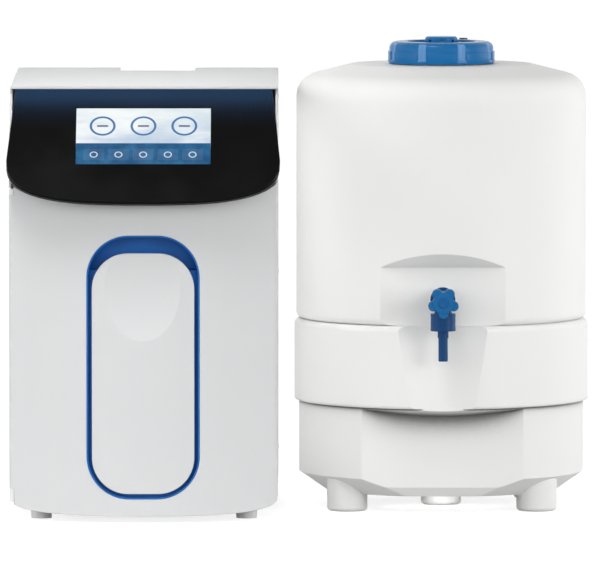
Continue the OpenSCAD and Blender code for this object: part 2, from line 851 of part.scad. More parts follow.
module rear_panel() {
    vent_span = (vent_count - 1) * vent_pitch;
    rear_z1 = cover_z(cab_d - panel_t) - seat_gap;
    well_half = notch_w / 2 + well_wall + seat_gap;
    color(casing) at_cabinet() {
        along_y(cab_d - panel_t, cab_d) difference() {
            translate([-tray_half, foot_h]) square([2 * tray_half, rear_z1 - foot_h]);
            translate([notch_x - well_half, rear_z1 - well_d - seat_gap]) square([2 * well_half, far]);
            for (x = port_x) {
                translate([x, port_z]) circle(port_shank_r + seat_gap);
            }
            for (i = [0:vent_count - 1]) {
                translate([vent_at[0], vent_at[1] - vent_span / 2 + i * vent_pitch]) vent_slot();
            }
            translate(inlet_at) square(inlet_body, center = true);
            translate(switch_at) square(bezel_body, center = true);
        }
    }
}

module vent_slot() {
    square([vent_l, vent_w], center = true);
    for (sx = [-1, 1]) {
        translate([sx * vent_l / 2, 0]) circle(vent_w / 2);
    }
}

module cover_section() {
    translate([-half_w, 0]) square([cab_w, cover_t - cover_edge_r]);
    translate([-half_w + cover_edge_r, 0]) square([cab_w - 2 * cover_edge_r, cover_t]);
    for (sx = [-1, 1]) {
        intersection() {
            translate([sx * (half_w - cover_edge_r), cover_t - cover_edge_r]) circle(cover_edge_r);
            translate([-half_w, 0]) square([cab_w, cover_t]);
        }
    }
}

// Plan of the tube notch, open to the rear; its back edge lies on y = 0.
module notch_plan() {
    translate([-notch_w / 2, -notch_d + notch_r]) square([notch_w, notch_d]);
    translate([-notch_w / 2 + notch_r, -notch_d]) square([notch_w - 2 * notch_r, notch_d]);
    for (sx = [-1, 1]) {
        translate([sx * (notch_w / 2 - notch_r), -notch_d + notch_r]) circle(notch_r);
    }
}

module top_cover() {
    length = (cab_d - cover_y0) / cos(cover_pitch);
    well_half = notch_w / 2 + well_wall;
    color(casing) at_cabinet() translate([0, cover_y0, cab_h - cover_t]) rotate([cover_pitch, 0, 0]) {
        difference() {
            union() {
                along_y(0, length) cover_section();
                block([notch_x - well_half, length - notch_d - well_wall, -well_d],
                      [notch_x + well_half, length, eps]);
            }
            translate([notch_x, length, well_wall - well_d]) linear_extrude(far) notch_plan();
        }
    }
}

// Control head

module display_window(grow) {
    translate([-display_w / 2 - grow, display_v - grow]) square([display_w + 2 * grow, display_h + 2 * grow]);
}

module head_housing() {
    box_half = inner_half - box_gap;
    box_top = glass_v1 - head_t;
    color(casing) at_cabinet() on_slope() difference() {
        union() {
            translate([0, 0, -visor_n]) linear_extrude(visor_t) {
                polygon(head_points(head_half, head_half - glass_taper, -head_rim, glass_v1));
            }
            translate([0, 0, -head_t]) linear_extrude(head_t - visor_n + eps) {
                polygon(head_points(box_half, box_half - glass_taper, box_in, box_top));
            }
        }
        translate([0, 0, -head_t - 1]) linear_extrude(head_t + 1 - visor_n) {
            polygon(head_points(box_half - box_wall, box_half - glass_taper - box_wall,
                                box_in + box_wall, box_top - box_wall));
        }
        translate([0, 0, -head_t]) linear_extrude(head_t) display_window(seat_gap);
    }
}

module head_glass() {
    color(black_glass) at_cabinet() on_slope() translate([0, 0, -glass_t]) {
        linear_extrude(glass_t) difference() {
            polygon(head_points(glass_half, glass_half - glass_taper, 0, glass_v1));
            display_window(seat_gap);
        }
    }
}

module display_module() {
    color("#c9dbea") at_cabinet() on_slope() {
        translate([0, 0, -display_t]) linear_extrude(display_t - display_set) display_window(0);
    }
}

module control_board() {
    board_w = display_w - 2 * board_in;
    board_h = display_h - 2 * board_in;
    mid_v = display_v + display_h / 2;
    color("#2f6b46") at_cabinet() on_slope() {
        translate([-board_w / 2, mid_v - board_h / 2, -display_t - board_gap - board_t]) {
            cube([board_w, board_h, board_t]);
        }
        for (sx = [-1, 1]) {
            for (sv = [-1, 1]) {
                translate([sx * (board_w / 2 - pillar_in), mid_v + sv * (board_h / 2 - pillar_in),
                           -display_t - board_gap - eps]) {
                    cylinder(r = pillar_r, h = board_gap + eps);
                }
            }
        }
    }
}

// Door and its hinge

module hinge_pins() {
    color(sheet_steel) at_cabinet() translate([-hinge_x, 0, 0]) {
        translate([0, 0, foot_h]) cylinder(r = pin_r, h = lug_h + pin_depth - pin_end);
        translate([0, 0, rod_z1 - pin_depth + pin_end]) {
            cylinder(r = pin_r, h = bracket_z1 - rod_z1 + pin_depth - pin_end);
        }
    }
}

module upper_hinge_bracket() {
    color(sheet_steel) at_cabinet() difference() {
        union() {
            translate([-hinge_x, 0, bracket_z0]) cylinder(r = knuckle_r, h = bracket_t);
            block([-inner_half, 0, bracket_z0], [-hinge_x + knuckle_r, bracket_l, bracket_z1]);
        }
        translate([-hinge_x, 0, bracket_z0 - 1]) cylinder(r = pin_r + run_fit, h = bracket_t + 2);
    }
}

module door_magnets() {
    color(dark_plastic) at_cabinet() {
        for (z = catch_z) {
            block([inner_half - catch_w, side_y0, z], [inner_half, side_y0 + catch_d, z + catch_h]);
        }
    }
}

// Wall of revolution about the door's upright axis, between two radii.
module door_shell(r0, r1, z0, z1) {
    door_turn() translate([r0, z0]) square([r1 - r0, z1 - z0]);
}

module door_turn() {
    translate([0, door_cy, 0]) rotate([0, 0, 270 - door_span]) {
        rotate_extrude(angle = 2 * door_span) children();
    }
}

// Boss inside the door that rests against a magnetic catch.
module door_strike(z) {
    x1 = hinge_x - knuckle_r + 1;
    intersection() {
        block([x1 - strike_w, -door_bulge, z], [x1, side_y0 - strike_gap, z + catch_h]);
        translate([0, door_cy, 0]) cylinder(r = door_r - door_wall / 2, h = cab_h);
    }
}

module front_door() {
    color(casing) at_cabinet() difference() {
        union() {
            difference() {
                intersection() {
                    door_shell(door_r - door_wall, door_r, 0, cab_h);
                    along_y(-far, side_y0) polygon(door_points());
                }
                translate([-hinge_x, 0, rod_z1]) cylinder(r = knuckle_r + lug_clear, h = far);
                translate([-hinge_x, 0, 0]) cylinder(r = knuckle_r + lug_clear, h = rod_z0);
            }
            translate([-hinge_x, 0, rod_z0]) cylinder(r = knuckle_r, h = rod_z1 - rod_z0);
            intersection() {
                translate([hinge_x, 0, 0]) cylinder(r = knuckle_r, h = cab_h);
                along_y(-far, side_y0) polygon(door_points());
            }
            for (z = catch_z) {
                door_strike(z);
            }
        }
        along_y(-far, far) round_rect(grip_half, grip_z0, grip_z1, grip_r);
        translate([-hinge_x, 0, rod_z0 - 1]) cylinder(r = pin_r + run_fit, h = pin_depth + 1);
        translate([-hinge_x, 0, rod_z1 - pin_depth]) cylinder(r = pin_r + run_fit, h = pin_depth + 1);
    }
}

// The door's opening, grown or drawn in.
module grip_outline(grow) {
    round_rect(grip_half + grow, grip_z0 - grow, grip_z1 + grow, grip_r + grow);
}

module pocket_zone(z) {
    translate([-far, z]) square([2 * far, far]);
}

module door_liner() {
    wall_in = -seat_gap - liner_wall;
    flange_r1 = door_r - door_wall - glue_gap;
    color(trim_blue) at_cabinet() difference() {
        union() {
            intersection() {
                along_y(-far, far) grip_outline(-seat_gap);
                door_shell(door_r - channel_d - liner_wall, door_r, 0, far);
            }
            intersection() {
                along_y(-far, far) grip_outline(liner_flange);
                door_shell(flange_r1 - liner_wall, flange_r1, 0, far);
            }
            intersection() {
                along_y(-far, far) intersection() {
                    grip_outline(-seat_gap);
                    pocket_zone(pocket_z0 - liner_wall);
                }
                door_shell(door_r - pocket_d - liner_wall, door_r - channel_d, 0, far);
            }
        }
        intersection() {
            along_y(-far, far) grip_outline(wall_in);
            door_shell(door_r - channel_d, door_r + far, 0, far);
        }
        intersection() {
            along_y(-far, far) intersection() {
                grip_outline(wall_in);
                pocket_zone(pocket_z0);
            }
            door_shell(door_r - pocket_d, door_r, 0, far);
        }
    }
}

module grip_panel() {
    dish_z = panel_z1 - dish_drop;
    color(casing) at_cabinet() difference() {
        intersection() {
            along_y(-far, far) round_rect(grip_half - channel_w, grip_z0 + channel_w, panel_z1, panel_r);
            door_shell(door_r - channel_d + glue_gap, door_r, 0, far);
        }
        intersection() {
            along_y(-far, far) pocket_zone(pocket_z0);
            door_shell(door_r - channel_d, door_r - grip_lip_t, 0, far);
        }
        translate([0, -door_bulge - dish_r + dish_d, dish_z]) sphere(r = dish_r);
    }
}

// Filter bay

module mounting_plate() {
    half = inner_half - plate_gap;
    color(sheet_steel) at_cabinet() {
        block([-half, plate_y, tray_top], [half, plate_back, plate_z1]);
        block([-half, plate_y, tray_top], [half, plate_back + plate_fold, tray_top + plate_t]);
        for (sx = [-1, 1]) {
            block([min(sx * half, sx * (half - plate_t)), plate_y, tray_top],
                  [max(sx * half, sx * (half - plate_t)), plate_back + plate_fold, plate_z1]);
        }
    }
}

module each_cartridge() {
    for (i = [-1:1]) {
        translate([i * cart_pitch, cart_y, 0]) children();
    }
}

module cartridge_cradle() {
    half = cart_pitch + cart_r + cradle_wall;
    floor_z = cart_z0;
    color("#d6dadd") at_cabinet() difference() {
        block([-half, cart_y - cart_r - cradle_wall, tray_top], [half, plate_y, tray_top + cradle_h]);
        each_cartridge() translate([0, 0, floor_z]) cylinder(r = cart_r + cart_fit, h = cradle_h);
        each_cartridge() translate([0, 0, tray_top - 1]) cylinder(r = cart_r / 2, h = cradle_h);
    }
}

module filter_manifold() {
    half = cart_pitch + 2 * neck_pin_r;
    color("#dfe3e6") at_cabinet() difference() {
        union() {
            block([-half, cart_y - 2 * neck_pin_r, manifold_z0], [half, plate_y, manifold_z0 + manifold_h]);
            each_cartridge() translate([0, 0, manifold_z0]) {
                cylinder(r = 2 * neck_pin_r, h = manifold_h + manifold_boss);
            }
        }
        each_cartridge() translate([0, 0, manifold_z0 - 1]) {
            cylinder(r = neck_pin_r + cart_fit, h = neck_pin_l + 1);
        }
    }
}

module cartridge_body(waist) {
    translate([0, 0, cart_z0]) {
        cylinder(r = cart_r, h = cart_cap_h);
        cylinder(r = cart_r - waist, h = cart_l);
        translate([0, 0, cart_l - cart_cap_h]) cylinder(r = cart_r, h = cart_cap_h);
        translate([0, 0, cart_l - eps]) cylinder(r = neck_pin_r, h = neck_pin_l - neck_end);
    }
}

module pretreatment_cartridge() {
    color("#e6e9ee") at_cabinet() translate([-cart_pitch, cart_y, 0]) cartridge_body(cart_rim);
}

module membrane_cartridge() {
    color("#f4f4f2") at_cabinet() translate([0, cart_y, 0]) cartridge_body(2 * cart_rim);
}

module polishing_cartridge() {
    color("#c98f4a") at_cabinet() translate([cart_pitch, cart_y, 0]) cartridge_body(cart_rim);
}

// Rear bay

module pump_bracket() {
    x1 = pump_x0 + motor_l + pump_l;
    leg = pump_end + pump_leg;
    color(sheet_steel) at_cabinet() difference() {
        block([pump_x0 + pump_end, pump_mid_y - motor_r, tray_top],
              [x1 - pump_end, pump_mid_y + motor_r, pump_axis_z - pump_cheek]);
        translate([0, pump_mid_y, pump_axis_z]) {
            bar_x(motor_r + seat_gap, pump_x0 - 1, pump_x0 + motor_l + seat_gap);
        }
        block([pump_x0 + motor_l - seat_gap, pump_mid_y - far, pump_axis_z - pump_side / 2],
              [x1 + 1, pump_mid_y + far, pump_axis_z + 1]);
        block([pump_x0 + leg, pump_mid_y - far, tray_top - 1],
              [x1 - leg, pump_mid_y + far, tray_top + pump_z - pump_web]);
    }
}

module pump_motor() {
    color(dark_plastic) at_cabinet() translate([0, pump_mid_y, pump_axis_z]) {
        bar_x(motor_r, pump_x0, pump_x0 + motor_l);
    }
}

module pump_head() {
    x0 = pump_x0 + motor_l;
    color("#3a3d42") at_cabinet() {
        translate([x0, pump_mid_y - pump_side / 2, pump_axis_z - pump_side / 2]) {
            cube([pump_l, pump_side, pump_side]);
        }
        for (sy = [-1, 1]) {
            translate([x0 + pump_l / 2, pump_mid_y + sy * pump_side / 4, pump_axis_z + pump_side / 2 - 1]) {
                cylinder(r = nozzle_r, h = nozzle_l + 1);
            }
        }
    }
}

module uv_reactor() {
    color("#c8ccd0") at_cabinet() translate([uv_x, uv_y, uv_z0]) {
        cylinder(r = uv_r, h = uv_l);
        for (z = [-uv_cap_l, uv_l - eps]) {
            translate([0, 0, z]) cylinder(r = uv_r - uv_cap_in, h = uv_cap_l + eps);
        }
    }
}

module uv_clips() {
    color(dark_plastic) at_cabinet() {
        for (z = [uv_z0 + uv_l / 4, uv_z0 + 3 * uv_l / 4]) {
            difference() {
                union() {
                    translate([uv_x, uv_y, z]) cylinder(r = uv_r + clip_t, h = clip_h);
                    block([uv_x - uv_r / 2, plate_back, z], [uv_x + uv_r / 2, uv_y, z + clip_h]);
                }
                translate([uv_x, uv_y, z - 1]) cylinder(r = uv_r + seat_gap, h = clip_h + 2);
                block([uv_x - uv_r / 2, uv_y, z - 1], [uv_x + uv_r / 2, uv_y + far, z + clip_h + 1]);
            }
        }
    }
}

module power_supply() {
    color("#a9adb3") at_cabinet() translate([supply_at[0], plate_back, supply_at[1]]) cube(supply);
}

module solenoid_valves() {
    pipe_half = coil_side / 2 + valve_pipe_l;
    color("#3c4046") at_cabinet() {
        for (i = [0, 1]) {
            translate([valve_x + i * valve_pitch, plate_back, valve_z]) {
                translate([-coil_side / 2, 0, 0]) cube([coil_side, coil_side, coil_h]);
                translate([0, coil_side / 2, -valve_pipe_z]) {
                    bar_x(valve_pipe_r, -pipe_half, pipe_half);
                    cylinder(r = valve_neck_r, h = valve_pipe_z + 1);
                }
            }
        }
    }
}

// Rear connections

// Push-in bulkhead port: axis along Y, outer face of its wall at y = 0, wall_t thick.
module port_body(wall_t) {
    difference() {
        union() {
            bar_y(port_nut_r, 0, port_nut_t);
            bar_y(port_r, 0, port_l);
            bar_y(port_shank_r, -wall_t - port_nut_t - port_thread, eps);
        }
        bar_y(tube_r + tube_fit, port_l - port_bore_l, port_l + 1);
        bar_y(tube_r + mouth_ring_wall + 2 * tube_fit, port_l - mouth_ring_d, port_l + 1);
        bar_y(tube_r - port_step, -far, port_l);
    }
}

module port_nut(wall_t) {
    difference() {
        translate([0, -wall_t - port_nut_t, 0]) rotate([-90, 0, 0]) {
            cylinder(r = port_nut_r, h = port_nut_t, $fn = 6);
        }
        bar_y(port_shank_r + tube_fit, -far, 0);
    }
}

module port_ring() {
    difference() {
        union() {
            bar_y(tube_r + mouth_ring_wall + tube_fit,
                  port_l - mouth_ring_d + seat_gap, port_l + mouth_ring_t);
            bar_y(port_r - mouth_gap, port_l + mouth_gap, port_l + mouth_ring_t);
        }
        bar_y(tube_r + tube_fit, 0, port_l + mouth_ring_t + 1);
    }
}

module each_rear_port() {
    for (x = port_x) {
        translate([x, cab_d, port_z]) children();
    }
}

module rear_ports() {
    color(dark_plastic) at_cabinet() each_rear_port() port_body(panel_t);
}

module rear_port_nuts() {
    color(dark_plastic) at_cabinet() each_rear_port() port_nut(panel_t);
}

module rear_port_rings() {
    color("#d8dadc") at_cabinet() each_rear_port() port_ring();
}

module power_inlet() {
    floor_y = inlet_flange - inlet_d;
    body = inlet_body - [2 * seat_gap, 2 * seat_gap];
    color(dark_plastic) at_cabinet() translate([inlet_at[0], cab_d, inlet_at[1]]) {
        difference() {
            union() {
                along_y(0, inlet_flange) square(inlet_size, center = true);
                along_y(floor_y - inlet_floor, eps) square(body, center = true);
            }
            along_y(floor_y, inlet_flange + 1) square(socket_size, center = true);
        }
        for (i = [-1:1]) {
            translate([contact_pitch * i, 0, contact_rise * (i == 0 ? 1 : -1) / 2]) {
                along_y(floor_y - eps, floor_y + contact_l) square(contact_size, center = true);
            }
        }
    }
}

module switch_bezel() {
    window = rocker_size + 2 * [rocker_gap, rocker_gap];
    body = bezel_body - [2 * seat_gap, 2 * seat_gap];
    pin_end_x = window[0] / 2 + rocker_pin_l;
    color(dark_plastic) at_cabinet() translate([switch_at[0], cab_d, switch_at[1]]) difference() {
        union() {
            along_y(0, bezel_flange) square(bezel_size, center = true);
            along_y(-bezel_d, eps) square(body, center = true);
        }
        along_y(-bezel_d + bezel_floor, bezel_flange + 1) square(window, center = true);
        translate([0, rocker_y, 0]) bar_x(rocker_pin_r + run_fit, -pin_end_x, pin_end_x);
    }
}

module power_rocker() {
    half_h = rocker_size[1] / 2;
    pin_reach = rocker_size[0] / 2 + rocker_pin_l;
    root = rocker_rise[0];
    waist = rocker_rise[1];
    color("#1d1f22") at_cabinet() translate([switch_at[0], cab_d + rocker_y, switch_at[1]]) {
        rotate([rocker_tilt, 0, 0]) along_x(-rocker_size[0] / 2, rocker_size[0] / 2) polygon([
            [-root, -half_h / 3], [-root, half_h / 3],
            [root, half_h - rocker_gap], [waist + rocker_horn, half_h - rocker_horn],
            [waist, 0], [waist + rocker_horn, rocker_horn - half_h], [root, rocker_gap - half_h]
        ]);
        bar_x(rocker_pin_r, -pin_reach, pin_reach);
    }
}

// Storage tank

// Side view of the tap bay, cut in front of the tank body; grown inwards for the inside wall.
module bay_cut(grow) {
    y1 = -bay_y + grow;
    z1 = bay_z1 + grow * (sqrt(2) - 1);
    along_x(-far / 2, far / 2) polygon([
        [-far, band_z1 - 1], [y1, band_z1 - 1], [y1, z1], [-far, z1 + y1 + far]
    ]);
}

module barrel_profile(wall) {
    r = barrel_r - wall;
    z0 = band_z1 + wall;
    rs = shoulder_r - wall;
    heel = heel_r - wall / 2;
    top = crown_z - wall;
    drop = wall / cos(atan(dish_drop_z / (dish_rim_r - sump_r))) - wall;
    translate([0, z0 + heel]) square([r, shoulder_z - z0 - heel]);
    translate([0, z0]) square([r - heel, 2 * heel]);
    translate([r - heel, z0 + heel]) circle(heel);
    translate([r - rs, shoulder_z]) circle(rs);
    polygon([
        [0, shoulder_z - 1], [r - rs, shoulder_z - 1],
        [r - rs + rs * sin(crown_slope), shoulder_z + rs * cos(crown_slope)],
        [crown_r - wall * tan(crown_slope / 2), top], [0, top]
    ]);
    polygon([
        [0, z0 + 1], [dish_rim_r, z0 + 1], [dish_rim_r, z0 + drop],
        [sump_r, z0 + drop - dish_drop_z], [0, z0 + drop - dish_drop_z]
    ]);
}

module tank_barrel() {
    color(polythene) at_tank() difference() {
        rotate_extrude() barrel_profile(0);
        bay_cut(0);
        difference() {
            rotate_extrude() barrel_profile(barrel_wall);
            bay_cut(barrel_wall);
        }
        translate([0, 0, shoulder_z]) cylinder(r = neck_r + seat_gap, h = far);
        translate([0, 0, tap_z]) bar_y(tap_shank_r + tube_fit, -far, 0);
        for (z = tank_port_z) {
            translate([0, 0, z]) bar_y(port_shank_r + tube_fit, 0, far);
        }
        translate([sensor_at[0], sensor_at[1], shoulder_z]) cylinder(r = gland_neck_r + tube_fit, h = far);
    }
}

// Threaded neck let into the crown from inside, with a flange under it.
module tank_neck() {
    color(polythene) at_tank() translate([0, 0, neck_z0]) difference() {
        union() {
            cylinder(r = neck_r, h = neck_z1 - neck_z0);
            cylinder(r = neck_r + neck_flange, h = neck_flange_t);
        }
        translate([0, 0, -1]) cylinder(r = neck_r - neck_wall, h = far);
    }
}

module base_profile() {
    polygon([
        [0, base_z0], [base_r - base_chamfer[0], base_z0], [base_r, base_z0 + base_chamfer[1]],
        [base_r, band_z0 + 1], [0, band_z0 + 1]
    ]);
    translate([0, band_z0 + band_lower_round]) {
        square([band_r, band_z1 - band_z0 - band_lower_round - band_round]);
    }
    translate([0, band_z0]) square([band_r - band_round, band_z1 - band_z0]);
    translate([0, band_z0]) square([band_r - band_lower_round, band_z1 - band_z0 - band_round]);
    translate([band_r - band_round, band_z1 - band_round]) circle(band_round);
    translate([band_r - band_lower_round, band_z0 + band_lower_round]) circle(band_lower_round);
}

module base_cavity_profile() {
    floor_z = base_z0 + base_wall;
    lean = base_wall * tan(atan(base_chamfer[0] / base_chamfer[1]) / 2);
    polygon([
        [0, floor_z], [base_r - base_chamfer[0] - lean, floor_z],
        [base_r - base_wall, base_z0 + base_chamfer[1] + base_wall
            - lean * base_chamfer[1] / base_chamfer[0]],
        [base_r - base_wall, band_z1 - base_wall], [0, band_z1 - base_wall]
    ]);
    translate([0, floor_z]) square([deck_hole_r, far]);
}

// Height of the cone under the band, which slopes down inwards to the flat front.
function eave_z(r) = band_z0 - (band_r - r) * tan(eave);

// Flat front of the base under the band, with a chamfer along its foot.
module flat_cut(grow) {
    y1 = -flat_y + grow;
    intersection() {
        along_x(-far, far) polygon([
            [-far, -1], [y1 + flat_chamfer[0], -1], [y1 + flat_chamfer[0], base_z0],
            [y1, base_z0 + flat_chamfer[1]], [y1, band_z1], [-far, band_z1]
        ]);
        rotate_extrude() polygon([
            [0, -2], [far, -2], [far, eave_z(far) + grow], [0, eave_z(0) + grow]
        ]);
    }
}

// Leaning round scoop in the band that clears the tap's spout.
module scoop_cut(grow) {
    height = band_z1 - band_z0;
    lean = atan((scoop_top_d - scoop_low_d) / height);
    translate([0, -band_r + scoop_low_d - scoop_r, band_z0]) rotate([-lean, 0, 0]) {
        translate([0, 0, -height]) cylinder(r = scoop_r + grow, h = 3 * height);
    }
}

module tank_base() {
    color(polythene) at_tank() difference() {
        rotate_extrude() base_profile();
        flat_cut(0);
        scoop_cut(0);
        difference() {
            rotate_extrude() base_cavity_profile();
            flat_cut(base_wall);
            scoop_cut(base_wall);
        }
    }
}

module tank_foot(top) {
    rotate_extrude() {
        translate([0, tank_foot_round]) square([tank_foot_r, top - tank_foot_round]);
        square([tank_foot_r - tank_foot_round, top]);
        translate([tank_foot_r - tank_foot_round, tank_foot_round]) circle(tank_foot_round);
    }
}

module tank_feet() {
    ring = base_r - tank_foot_in;
    color("#dfe1e0") at_tank() {
        tank_foot(base_z0);
        difference() {
            for (sx = [-1, 1]) {
                for (sy = [-1, 1]) {
                    translate([sx * ring * cos(tank_foot_turn), sy * ring * sin(tank_foot_turn), 0]) {
                        tank_foot(base_z0 + base_chamfer[1]);
                    }
                }
            }
            rotate_extrude() polygon([
                [0, base_z0], [base_r - base_chamfer[0], base_z0],
                [base_r, base_z0 + base_chamfer[1]], [base_r, far], [0, far]
            ]);
        }
    }
}

module each_tank_port() {
    for (z = tank_port_z) {
        translate([0, barrel_r, z]) children();
    }
}

module tank_ports() {
    color(dark_plastic) at_tank() each_tank_port() port_body(port_wall);
}

module tank_port_nuts() {
    color(dark_plastic) at_tank() each_tank_port() port_nut(port_wall);
}

module tank_port_rings() {
    color("#d8dadc") at_tank() each_tank_port() port_ring();
}

// Level sensor behind the cap

module level_gland() {
    neck_l = barrel_wall + gland_hex[1];
    color(dark_plastic) at_tank() translate([sensor_at[0], sensor_at[1], crown_z]) difference() {
        union() {
            cylinder(r = gland_r + gland_hex[0], h = gland_hex[1], $fn = 6);
            cylinder(r = gland_r - gland_step, h = gland_h - gland_tip);
            cylinder(r = gland_r - 2 * gland_step, h = gland_h);
            translate([0, 0, -neck_l]) cylinder(r = gland_neck_r, h = neck_l + 1);
        }
        translate([0, 0, -far / 2]) cylinder(r = sensor_rod_r + run_fit, h = far / 2 + gland_h - gland_roof);
    }
}

module level_rod() {
    color(sheet_steel) at_tank() translate([sensor_at[0], sensor_at[1], 0]) {
        translate([0, 0, sensor_rod_z0]) {
            cylinder(r = sensor_rod_r, h = crown_z + gland_h - gland_roof - end_gap - sensor_rod_z0);
        }
        for (z = [sensor_rod_z0, float_z0 + float_h + float_travel + 2 * end_gap]) {
            translate([0, 0, z]) cylinder(r = sensor_rod_r + stop_w, h = stop_h);
        }
    }
}

module level_float() {
    color("#f0f0ee") at_tank() translate([sensor_at[0], sensor_at[1], float_z0 + end_gap]) difference() {
        cylinder(r = float_r, h = float_h);
        translate([0, 0, -1]) cylinder(r = sensor_rod_r + float_fit, h = float_h + 2);
    }
}

// Neck and lid

module neck_gasket() {
    color("#c8cbcd") at_tank() translate([0, 0, neck_z1]) difference() {
        cylinder(r = neck_r, h = gasket_t);
        translate([0, 0, -1]) cylinder(r = neck_r - neck_wall + gasket_in, h = gasket_t + 2);
    }
}

module lid_disc() {
    color(cap_blue) at_tank() difference() {
        union() {
            translate([0, 0, lid_z0]) cylinder(r = neck_r, h = lid_flange_t);
            translate([0, 0, lid_z0]) cylinder(r = lid_top_r, h = lid_top - lid_z0);
        }
        translate([0, 0, lid_z0 - 1]) cylinder(r = vent_hole_r, h = far);
    }
}

module lid_ring() {
    top = ring_ceiling + ring_top_t;
    color(cap_blue) at_tank() rotate_extrude() difference() {
        union() {
            translate([0, ring_z0]) square([ring_r + ring_flange, ring_flange_h]);
            translate([0, ring_z0]) square([ring_r, top - ring_round - ring_z0]);
            translate([0, ring_z0]) square([ring_r - ring_round, top - ring_z0]);
            translate([ring_r - ring_round, top - ring_round]) circle(ring_round);
        }
        translate([0, ring_z0 - 1]) square([ring_bore_r, ring_ceiling - ring_z0 + 1]);
        translate([0, ring_z0]) square([lid_top_r + 2 * ring_fit, far]);
    }
}

module vent_cap() {
    side_h = vent_cap_h - vent_cap_edge;
    color(cap_blue) at_tank() translate([0, 0, lid_top]) difference() {
        union() {
            cylinder(r = vent_cap_r, h = side_h);
            translate([0, 0, side_h]) {
                cylinder(r1 = vent_cap_r, r2 = vent_cap_r - vent_cap_edge, h = vent_cap_edge);
            }
        }
        translate([0, 0, -1]) cylinder(r = vent_cap_r - vent_cap_wall, h = vent_cap_h - vent_cap_wall + 1);
        for (i = [0:vent_holes - 1]) {
            rotate([0, 0, 360 * i / vent_holes]) translate([0, 0, vent_hole_z]) {
                bar_y(vent_hole_in_cap_r, vent_cap_r - 2 * vent_cap_wall, vent_cap_r + 1);
            }
        }
    }
}

module vent_filter() {
    color("#f6f6f4") at_tank() translate([0, 0, lid_top]) {
        cylinder(r = vent_cap_r - vent_cap_wall - vent_gap, h = vent_cap_h - vent_cap_wall - seat_gap);
    }
}

// Tap

module tap_gasket() {
    color("#c8cbcd") at_tank() translate([0, 0, tap_z]) difference() {
        bar_y(tap_flange_r, tap_face_y, -bay_y);
        bar_y(tap_shank_r + tube_fit, -far, far);
    }
}

module tap_body() {
    shank_y1 = -bay_y + barrel_wall + tap_nut_t + tap_thread;
    stub_z0 = spout_z1 + spout_nut_floor + spout_flange_t;
    color(tap_blue) at_tank() difference() {
        union() {
            translate([0, 0, tap_z]) {
                bar_y(tap_flange_r, tap_face_y - tap_flange_t, tap_face_y);
                bar_y(tap_shank_r, tap_face_y - 1, shank_y1);
                bar_y(tap_barrel_r, nose_y, tap_face_y - tap_flange_t + eps);
            }
            translate([0, spout_y, stub_z0]) cylinder(r = spout_stub_r, h = tap_z - stub_z0);
        }
        translate([0, 0, tap_z]) {
            bar_y(passage_r, chamber_y1 - 1, far);
            bar_y(chamber_r, nose_y - 1, chamber_y1);
        }
        translate([0, spout_y, tap_z - far / 2]) cylinder(r = passage_r, h = far / 2);
    }
}

module tap_nut() {
    color(dark_plastic) at_tank() translate([0, 0, tap_z]) difference() {
        translate([0, -bay_y + barrel_wall, 0]) rotate([-90, 0, 0]) {
            cylinder(r = tap_nut_r, h = tap_nut_t, $fn = 6);
        }
        bar_y(tap_shank_r + tube_fit, -far, far);
    }
}

module tap_bonnet() {
    color(tap_blue) at_tank() translate([0, 0, tap_z]) difference() {
        union() {
            bar_y(bonnet_r, bonnet_y, nose_y);
            bar_y(chamber_r - tube_fit, nose_y - eps, nose_y + bonnet_plug);
        }
        bar_y(stem_r + run_fit, -far, far);
    }
}

module spout_nut() {
    color(tap_blue) at_tank() translate([0, spout_y, spout_z1]) difference() {
        cylinder(r = spout_nut_r, h = spout_nut_h);
        translate([0, 0, spout_nut_floor]) cylinder(r = spout_stub_r + seat_gap, h = spout_nut_h);
        translate([0, 0, -1]) cylinder(r = spout_root_r + seat_gap, h = spout_nut_h);
    }
}

module tap_spout() {
    color(tap_blue) at_tank() translate([0, spout_y, spout_z1]) difference() {
        union() {
            translate([0, 0, -spout_l]) cylinder(r = spout_r, h = spout_l);
            translate([0, 0, hose_end_l - spout_l]) {
                cylinder(r = spout_root_r, h = spout_l - hose_end_l + spout_nut_floor + 1);
            }
            translate([0, 0, spout_nut_floor]) cylinder(r = spout_stub_r, h = spout_flange_t - seat_gap);
        }
        translate([0, 0, -spout_l - 1]) cylinder(r = spout_r - spout_wall, h = far);
    }
}

module tap_disc() {
    color("#34373b") at_tank() translate([0, 0, tap_z]) {
        bar_y(valve_r, chamber_y1 - valve_t - end_gap, chamber_y1 - end_gap);
    }
}

module tap_stem() {
    color(sheet_steel) at_tank() translate([0, 0, tap_z]) {
        bar_y(stem_r, knob_y0 + knob_face, chamber_y1 - valve_t - 2 * end_gap);
    }
}

module tap_knob() {
    color(tap_blue) at_tank() translate([0, 0, tap_z]) difference() {
        union() {
            bar_y(knob_r - lobe_r, knob_y0, knob_y1);
            for (i = [0:lobe_count - 1]) {
                rotate([0, lobe_turn + 360 * i / lobe_count, 0]) translate([knob_r - lobe_r, 0, 0]) {
                    bar_y(lobe_r, knob_y0 + lobe_set, knob_y1 - 2 * lobe_set);
                }
            }
        }
        bar_y(stem_r + tube_fit, knob_y0 + knob_face, far);
    }
}

